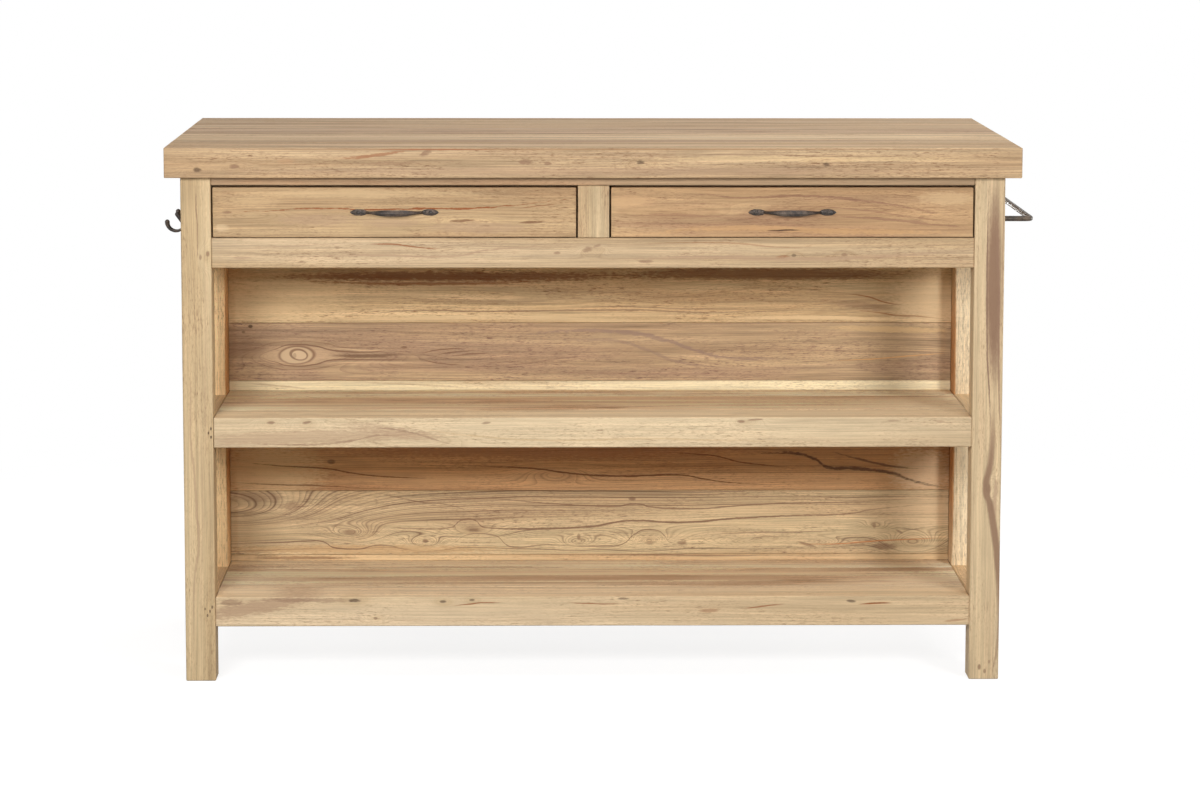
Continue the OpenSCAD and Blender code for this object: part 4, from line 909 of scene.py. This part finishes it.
# The drawers: an inset teak front housed onto two thin sides, with a back between them and a
# bottom in a groove. A dark gap of a few millimetres runs round each front.
drawer_looks = {
    "left_drawer_front": dict(
        seed=101, pith=(0.2, -0.3), ring=0.01, waver=0.016, lines=0.35, fibre=0.6, stain=0.5,
        pale=(190, 161, 122), tan=(175, 142, 104), brown=(154, 123, 90),
        knots=[(-560, 778, 50, 8, 1.5), (-210, 768, 40, 8, 1.5)],
        marks=[
            (-454, 770, 80, 12, 0, 10, GREY_BROWN, 0.5), (-334, 765, 60, 9, 0, 8, GREY_BROWN, 0.45),
            (-190, 757, 100, 11, 0, 9, GREY_BROWN, 0.5), (-380, 813, 240, 8, 0, 5, (222, 190, 146), 0.4),
            (-560, 800, 60, 12, 0, 8, (218, 186, 142), 0.35), (-608, 756, 14, 8, 0, 4, (216, 188, 150), 0.5),
            (-214, 768, 26, 2.6, 0.05, 3, (112, 74, 50), 0.75),
            (-101, 766, 26, 2.4, 0.05, 3, (112, 74, 50), 0.7), (-600, 782, 10, 3, 0, 3, UMBER, 0.6)],
        veins=[
            ([(-602, 781), (-564, 783.5), (-526, 785), (-471, 788), (-405, 788), (-384, 786), (-330, 787),
              (-263, 788), (-219, 788), (-175, 790), (-137, 793), (-98, 797),
              (-38, 804.5)], 3, 6, (140, 78, 42), 0.95),
            ([(-560, 790), (-480, 797), (-420, 792)], 2, 3, UMBER, 0.4),
            ([(-130, 787), (-95, 792), (-50, 797)], 2, 2, (128, 70, 40), 0.6)]),
    "right_drawer_front": dict(
        seed=102, pith=(0.14, -0.3), ring=0.01, waver=0.024, lines=0.35, fibre=0.5, stain=0.8,
        pale=(197, 166, 125), tan=(179, 144, 105), brown=(156, 121, 92), line=(126, 90, 68),
        knots=[(420, 790, 120, 16, 2), (120, 780, 110, 14, -1.5)],
        marks=[(580, 805, 60, 14, 0, 8, (216, 184, 142), 0.5), (60, 800, 50, 14, 0, 8, (206, 166, 124), 0.5)],
        veins=[
            ([(60, 745), (108, 748), (229, 756), (395, 751), (616, 748)], 12, 6, (200, 158, 110), 0.6),
            ([(120, 805), (180, 811), (240, 806), (340, 809), (450, 800), (561, 781),
              (622, 773)], 5, 6, (136, 98, 78), 0.6),
            ([(380, 776), (478, 771), (561, 762), (622, 757)], 6, 6, (136, 98, 78), 0.6),
            ([(300, 792), (420, 788), (520, 774), (620, 764)], 4, 5, (140, 102, 80), 0.45),
            ([(42, 772), (119, 778), (191, 775), (246, 770)], 5, 5, (140, 102, 80), 0.4),
            ([(60, 790), (150, 797), (230, 792)], 4, 5, (144, 106, 82), 0.4),
            ([(282, 752.4), (300, 751.8), (322, 753), (342, 752.4)], 2.8, 1.5, (84, 60, 46), 0.95)]),
}
for side in ("left", "right"):
    node = f"{side}_drawer_front"
    board_for(node, f"{node}_board", "upright", drawer_looks[node], f"{side}_drawer", "teak_tan",
              ease=0.0012, wander=0.0003)
    for number, (part, lie) in enumerate((("side_inner", "end"), ("side_outer", "end"),
                                          ("back", "upright"), ("bottom", "flat"))):
        refinish_teak(f"{side}_drawer_{part}", lie, seed=len(side) * 7 + number, pith=(0.2, 0.1), ring=0.009,
                      lines=0.3, pale=(222, 196, 154), tan=(206, 176, 134))


# The handles: a forged iron bow on each drawer, with a ridge along its front, wider in the middle
# than at its necks. It grows out of two leaf-shaped plates, each with a screw between two beats
# of the hammer. The iron is blackened and waxed, and rubbed a little brighter where hands reach.
iron_group, given, hand_out = new_group(
    "forged_iron", dict(Place="Vector", Black="Color", Brown="Color", Rubbed="Color", Wear="Float"),
    dict(Color="Color", Roughness="Float", Height="Float"))
patches = clouds(given["Place"], (90, 90, 90), 3, 0.6)
grit = clouds(given["Place"], (900, 900, 900), 2, 0.6)
beats = step(iron_group, "TexVoronoi", {"Vector": given["Place"], "Scale": 210, "Smoothness": 0.6},
             feature="SMOOTH_F1").outputs["Distance"]
rust = blend_of(ramp(patches, 0.38, 0.66), given["Black"], given["Brown"])
rubbed = times(ramp(plus(grit, patches), 0.95, 1.3), given["Wear"])
hand_out(
    Color=blend_of(rubbed, rust, given["Rubbed"]),
    Roughness=ramp(plus(grit, patches), 0.7, 1.3, 0.34, 0.62),
    Height=plus(times(beats, 0.8), times(grit, 0.25)),
)


def iron(name, seed, black=(60, 55, 52), brown=(84, 72, 62), wear=0.35):
    """Blackened iron that keeps the marks of the hammer."""
    made, tree = empty_material(name)
    place = step(tree, "TexCoord").outputs["Object"]
    place = step(tree, "Mapping", {"Vector": place, "Location": (seed * 0.37, seed * 0.11, 0)}).outputs[0]
    values = {"Place": place, "Black": tone(black), "Brown": tone(brown), "Rubbed": tone((128, 118, 108)),
              "Wear": wear}
    used = step(tree, "Group", values, node_tree=iron_group).outputs
    gloss = {"Metallic": 0.55, "Specular IOR Level": 0.5}
    finish_off(tree, used["Color"], used["Roughness"], used["Height"], gloss)
    return made


def forge(mesh, cap, stations):
    """A bar drawn out from a flat cap, which also stays inside it at every station. Each station
    gives, in millimetres, its place, and its way, its upper side and its two sizes."""
    def seat(place, way, upper, wide, deep):
        way = Vector(way).normalized()
        upper = Vector(upper)
        side = upper.cross(way)
        turned = Matrix((side * wide / 1000, upper * deep / 1000, way)).transposed().to_4x4()
        return Matrix.Translation(Vector(place) / 1000) @ turned
    here = seat(*stations[0])
    bmesh.ops.transform(mesh, matrix=here, verts=cap.verts)
    for station in stations[1:]:
        after = seat(*station)
        grown = bmesh.ops.extrude_face_region(mesh, geom=[cap])["geom"]
        cap = [part for part in grown if isinstance(part, bmesh.types.BMFace)][0]
        bmesh.ops.transform(mesh, matrix=after @ here.inverted(), verts=cap.verts)
        here = after


def iron_piece(mesh, name, finish, node, body="frame"):
    """Closes a forged piece, leaves it a little uneven, and lets it ride on its body."""
    unevenness = 0.00022
    bmesh.ops.recalc_face_normals(mesh, faces=mesh.faces)
    mesh.normal_update()
    moved = [(vert, vert.co - vert.normal * unevenness * (1 + noise.noise(vert.co * 210))) for vert in mesh.verts]
    for vert, co in moved:
        vert.co = co
    for face in mesh.faces:
        face.smooth = True
    made = settle(mesh, name, finish, node, body)
    made.data.set_sharp_from_angle(angle=math.radians(38))


DRAWER_FACE = -325


def leaf_plate(mesh, middle, way):
    """A leaf of iron on the drawer's face: pointed outside, blunt where the bow grows out of it,
    raised along its middle, with a hammered bump on each side of the screw's flat seat."""
    half_l = 13.5
    half_h = 5.4
    leaf = bmesh.ops.create_grid(mesh, x_segments=36, y_segments=14, size=1)["verts"]
    for vert in leaf:
        u, v = vert.co.x, vert.co.y
        if u > 0:
            half = half_h * (1 - u ** 2.2) ** 0.85 + 0.12
        else:
            half = half_h * (1 - 0.5 * abs(u) ** 3)
        crown = 1.5 + 1.35 * (1 - v * v) ** 0.5 * (1 - 0.45 * abs(u) ** 3)
        bumps = sum(1.5 * math.exp(-((u - at) / 0.17) ** 2 - (v / 0.55) ** 2) for at in (-0.5, 0.5))
        seat = math.exp(-(u / 0.2) ** 4)
        depth = (crown + bumps) * (1 - seat) + 2.9 * seat * (1 - 0.4 * v * v)
        vert.co = Vector((middle[0] + way * u * half_l, DRAWER_FACE - depth, middle[1] + v * half)) / 1000
    faces = [face for face in mesh.faces if face.verts[0] in leaf]
    for part in bmesh.ops.extrude_face_region(mesh, geom=faces)["geom"]:
        if isinstance(part, bmesh.types.BMVert):
            part.co.y = DRAWER_FACE / 1000


UP = (0, 0, 1)
handle_z = 782
leaf_off = 59
bow_half, bow_sag = 48.25, 21.25
bow_r = (bow_half ** 2 + bow_sag ** 2) / (2 * bow_sag)
bow_angle = math.asin(bow_half / bow_r)
bow_y = DRAWER_FACE - bow_sag + bow_r
bow_steps = 24
ridged = [(-0.94, -0.82), (-0.6, -0.96), (-0.1, -0.96), (0.6, -0.42), (0.9, -0.1)]
ridged += [(out_by, -up_by) for out_by, up_by in reversed(ridged)]
for side, middle_x in (("left", -326), ("right", 326)):
    mesh = bmesh.new()
    cap = mesh.faces.new([mesh.verts.new((out_by, up_by, 0)) for out_by, up_by in ridged])
    stations = []
    for number in range(-bow_steps, bow_steps + 1):
        share = number / bow_steps
        angle = bow_angle * share
        place = (middle_x + bow_r * math.sin(angle), bow_y - bow_r * math.cos(angle), handle_z)
        swell = min(1, max(0, (0.86 - abs(share)) / 0.66))
        swell = swell * swell * (3 - 2 * swell)
        stations.append((place, (math.cos(angle), math.sin(angle), 0), UP,
                         -2.75 * (0.8 + 0.2 * swell), 5.5 * (0.46 + 0.54 * swell)))
    forge(mesh, cap, stations)
    for way in (-1, 1):
        leaf_plate(mesh, (middle_x + way * leaf_off, handle_z), way)
    finish = iron(f"blackened_iron_{side}_handle", len(side), (52, 47, 44), (76, 62, 52))
    iron_piece(mesh, f"{side}_drawer_pull", finish, f"{side}_drawer_handle", f"{side}_drawer")
    refinish(f"{side}_handle_screws", iron(f"screw_iron_{side}_handle", len(side) + 3))


# The towel rail: one round iron rod on the right end, bent at both corners and set into two
# upright plates, which are screwed to the end of the island.
def round_cap(mesh, segments):
    """A round cap of radius one to draw a rod from."""
    return bmesh.ops.create_circle(mesh, cap_ends=True, segments=segments, radius=1)["verts"][0].link_faces[0]


END_FACE = 676


def end_plate(mesh, way, y, z):
    """An upright iron plate with rounded corners and eased edges, flat against the end."""
    width, height, thickness = 20, 62, 3
    bevel = dict(offset_type="OFFSET", profile=0.5, affect="EDGES", material=-1)
    made = bmesh.ops.create_cube(mesh, size=1)["verts"]
    bmesh.ops.scale(mesh, vec=Vector((thickness, width, height)) / 1000, verts=made)
    bmesh.ops.translate(mesh, vec=Vector((way * (END_FACE + thickness / 2), y, z)) / 1000, verts=made)
    corners = [edge for edge in mesh.edges
               if edge.verts[0] in made and abs(edge.verts[0].co.x - edge.verts[1].co.x) > 0.001]
    bmesh.ops.bevel(mesh, geom=corners, offset=0.006, segments=5, **bevel)
    front = way * (END_FACE + thickness) / 1000
    near = (width / 2 + 0.1) / 1000
    rim = [edge for edge in mesh.edges
           if all(abs(vert.co.x - front) < 1e-6 and abs(vert.co.y - y / 1000) < near for vert in edge.verts)
           and len(edge.link_faces) == 2 and edge.calc_face_angle(0) > 1]
    bmesh.ops.bevel(mesh, geom=rim, offset=0.0009, segments=2, **bevel)


mesh = bmesh.new()
rod, bend = 4.75, 9
arm_y, rail_z, rod_x = 245, 764, 729.25
stations = [((x, -arm_y, rail_z), (1, 0, 0), UP, size, size)
            for x, size in ((676.8, 6.4), (679.4, 6.2), (681.6, rod), *((x, rod) for x in range(688, 719, 6)))]
for number in range(7):
    angle = math.radians(15 * number)
    place = (rod_x - bend + bend * math.sin(angle), -arm_y + bend - bend * math.cos(angle), rail_z)
    stations.append((place, (math.cos(angle), math.sin(angle), 0), UP, rod, rod))
arm = stations[:]
for number in range(1, 20):
    stations.append(((rod_x, (arm_y - bend) * (number / 10 - 1), rail_z), (0, 1, 0), UP, rod, rod))
for place, way, upper, wide, deep in reversed(arm):
    stations.append(((place[0], -place[1], place[2]), (-way[0], way[1], 0), upper, wide, deep))
forge(mesh, round_cap(mesh, 20), stations)
for y in (-arm_y, arm_y):
    end_plate(mesh, 1, y, rail_z)
finish = iron("blackened_iron_towel_rail", 5, (62, 56, 50), (88, 74, 60))
iron_piece(mesh, "towel_rail_rod", finish, "towel_rail")


# The hooks: three double hooks on the left end, each with a lower and an upper bar of forged
# iron that thickens towards its rounded end. Each stands on an upright plate that is screwed on.
thin, thick = 2.5, 4.4
hook_z = 753
ACROSS = (0, 1, 0)


def radius_at(share):
    """A bar's radius, from thin at its root to thick at its end."""
    return thin + (thick - thin) * max(0, share) ** 1.3


def rounded_end(tip, way, turns=(20, 40, 60, 75, 86)):
    """The stations that round off the thick end of a bar."""
    for turn in turns:
        angle = math.radians(turn)
        size = thick * max(0.08, math.cos(angle))
        yield tip + way * thick * math.sin(angle), way, ACROSS, size, size


for number, (node, y) in enumerate((("hook_front", -189), ("hook_middle", 0), ("hook_rear", 189))):
    mesh = bmesh.new()
    end_plate(mesh, -1, y, hook_z)
    lower = [((-676.8, y, 754), (-1, 0, 0), ACROSS, 3.4, 3.4),
             ((-678.8, y, 753.6), (-1, 0, -0.35), ACROSS, 3.0, 3.0),
             ((-680.4, y, 751.5), (-0.5, 0, -1), ACROSS, thin, thin)]
    for turn in range(15, 181, 11):
        angle = math.radians(turn)
        place = (-696 + 15 * math.cos(angle), y, hook_z - 15 * math.sin(angle))
        size = radius_at((turn - 60) / 120)
        lower.append((place, (-math.sin(angle), 0, -math.cos(angle)), ACROSS, size, size))
    lower += rounded_end(Vector((-711, y, hook_z)), Vector(UP), (0, 20, 40, 60, 75, 86))
    forge(mesh, round_cap(mesh, 16), lower)
    root, tip = Vector((-677, y, 739)), Vector((-694, y, 766))
    way = (tip - root).normalized()
    upper = [(root.lerp(tip, share), way, ACROSS, radius_at(share), radius_at(share))
             for share in (0, 0.2, 0.4, 0.6, 0.8, 1)]
    upper += rounded_end(tip, way)
    forge(mesh, round_cap(mesh, 16), upper)
    finish = iron(f"blackened_iron_{node}", 7 + number, (52, 47, 44), (76, 62, 52), wear=0.45)
    iron_piece(mesh, f"{node}_forging", finish, node)


# The screws: dome-headed iron ones that hold the plates of the towel rail and the hooks to the
# two ends, and countersunk ones that go up through the top rail and the aprons into the worktop.
for number, node in enumerate(("side_screws", "worktop_screws")):
    refinish(node, iron(f"{node}_iron", 11 + number))

low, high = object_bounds()
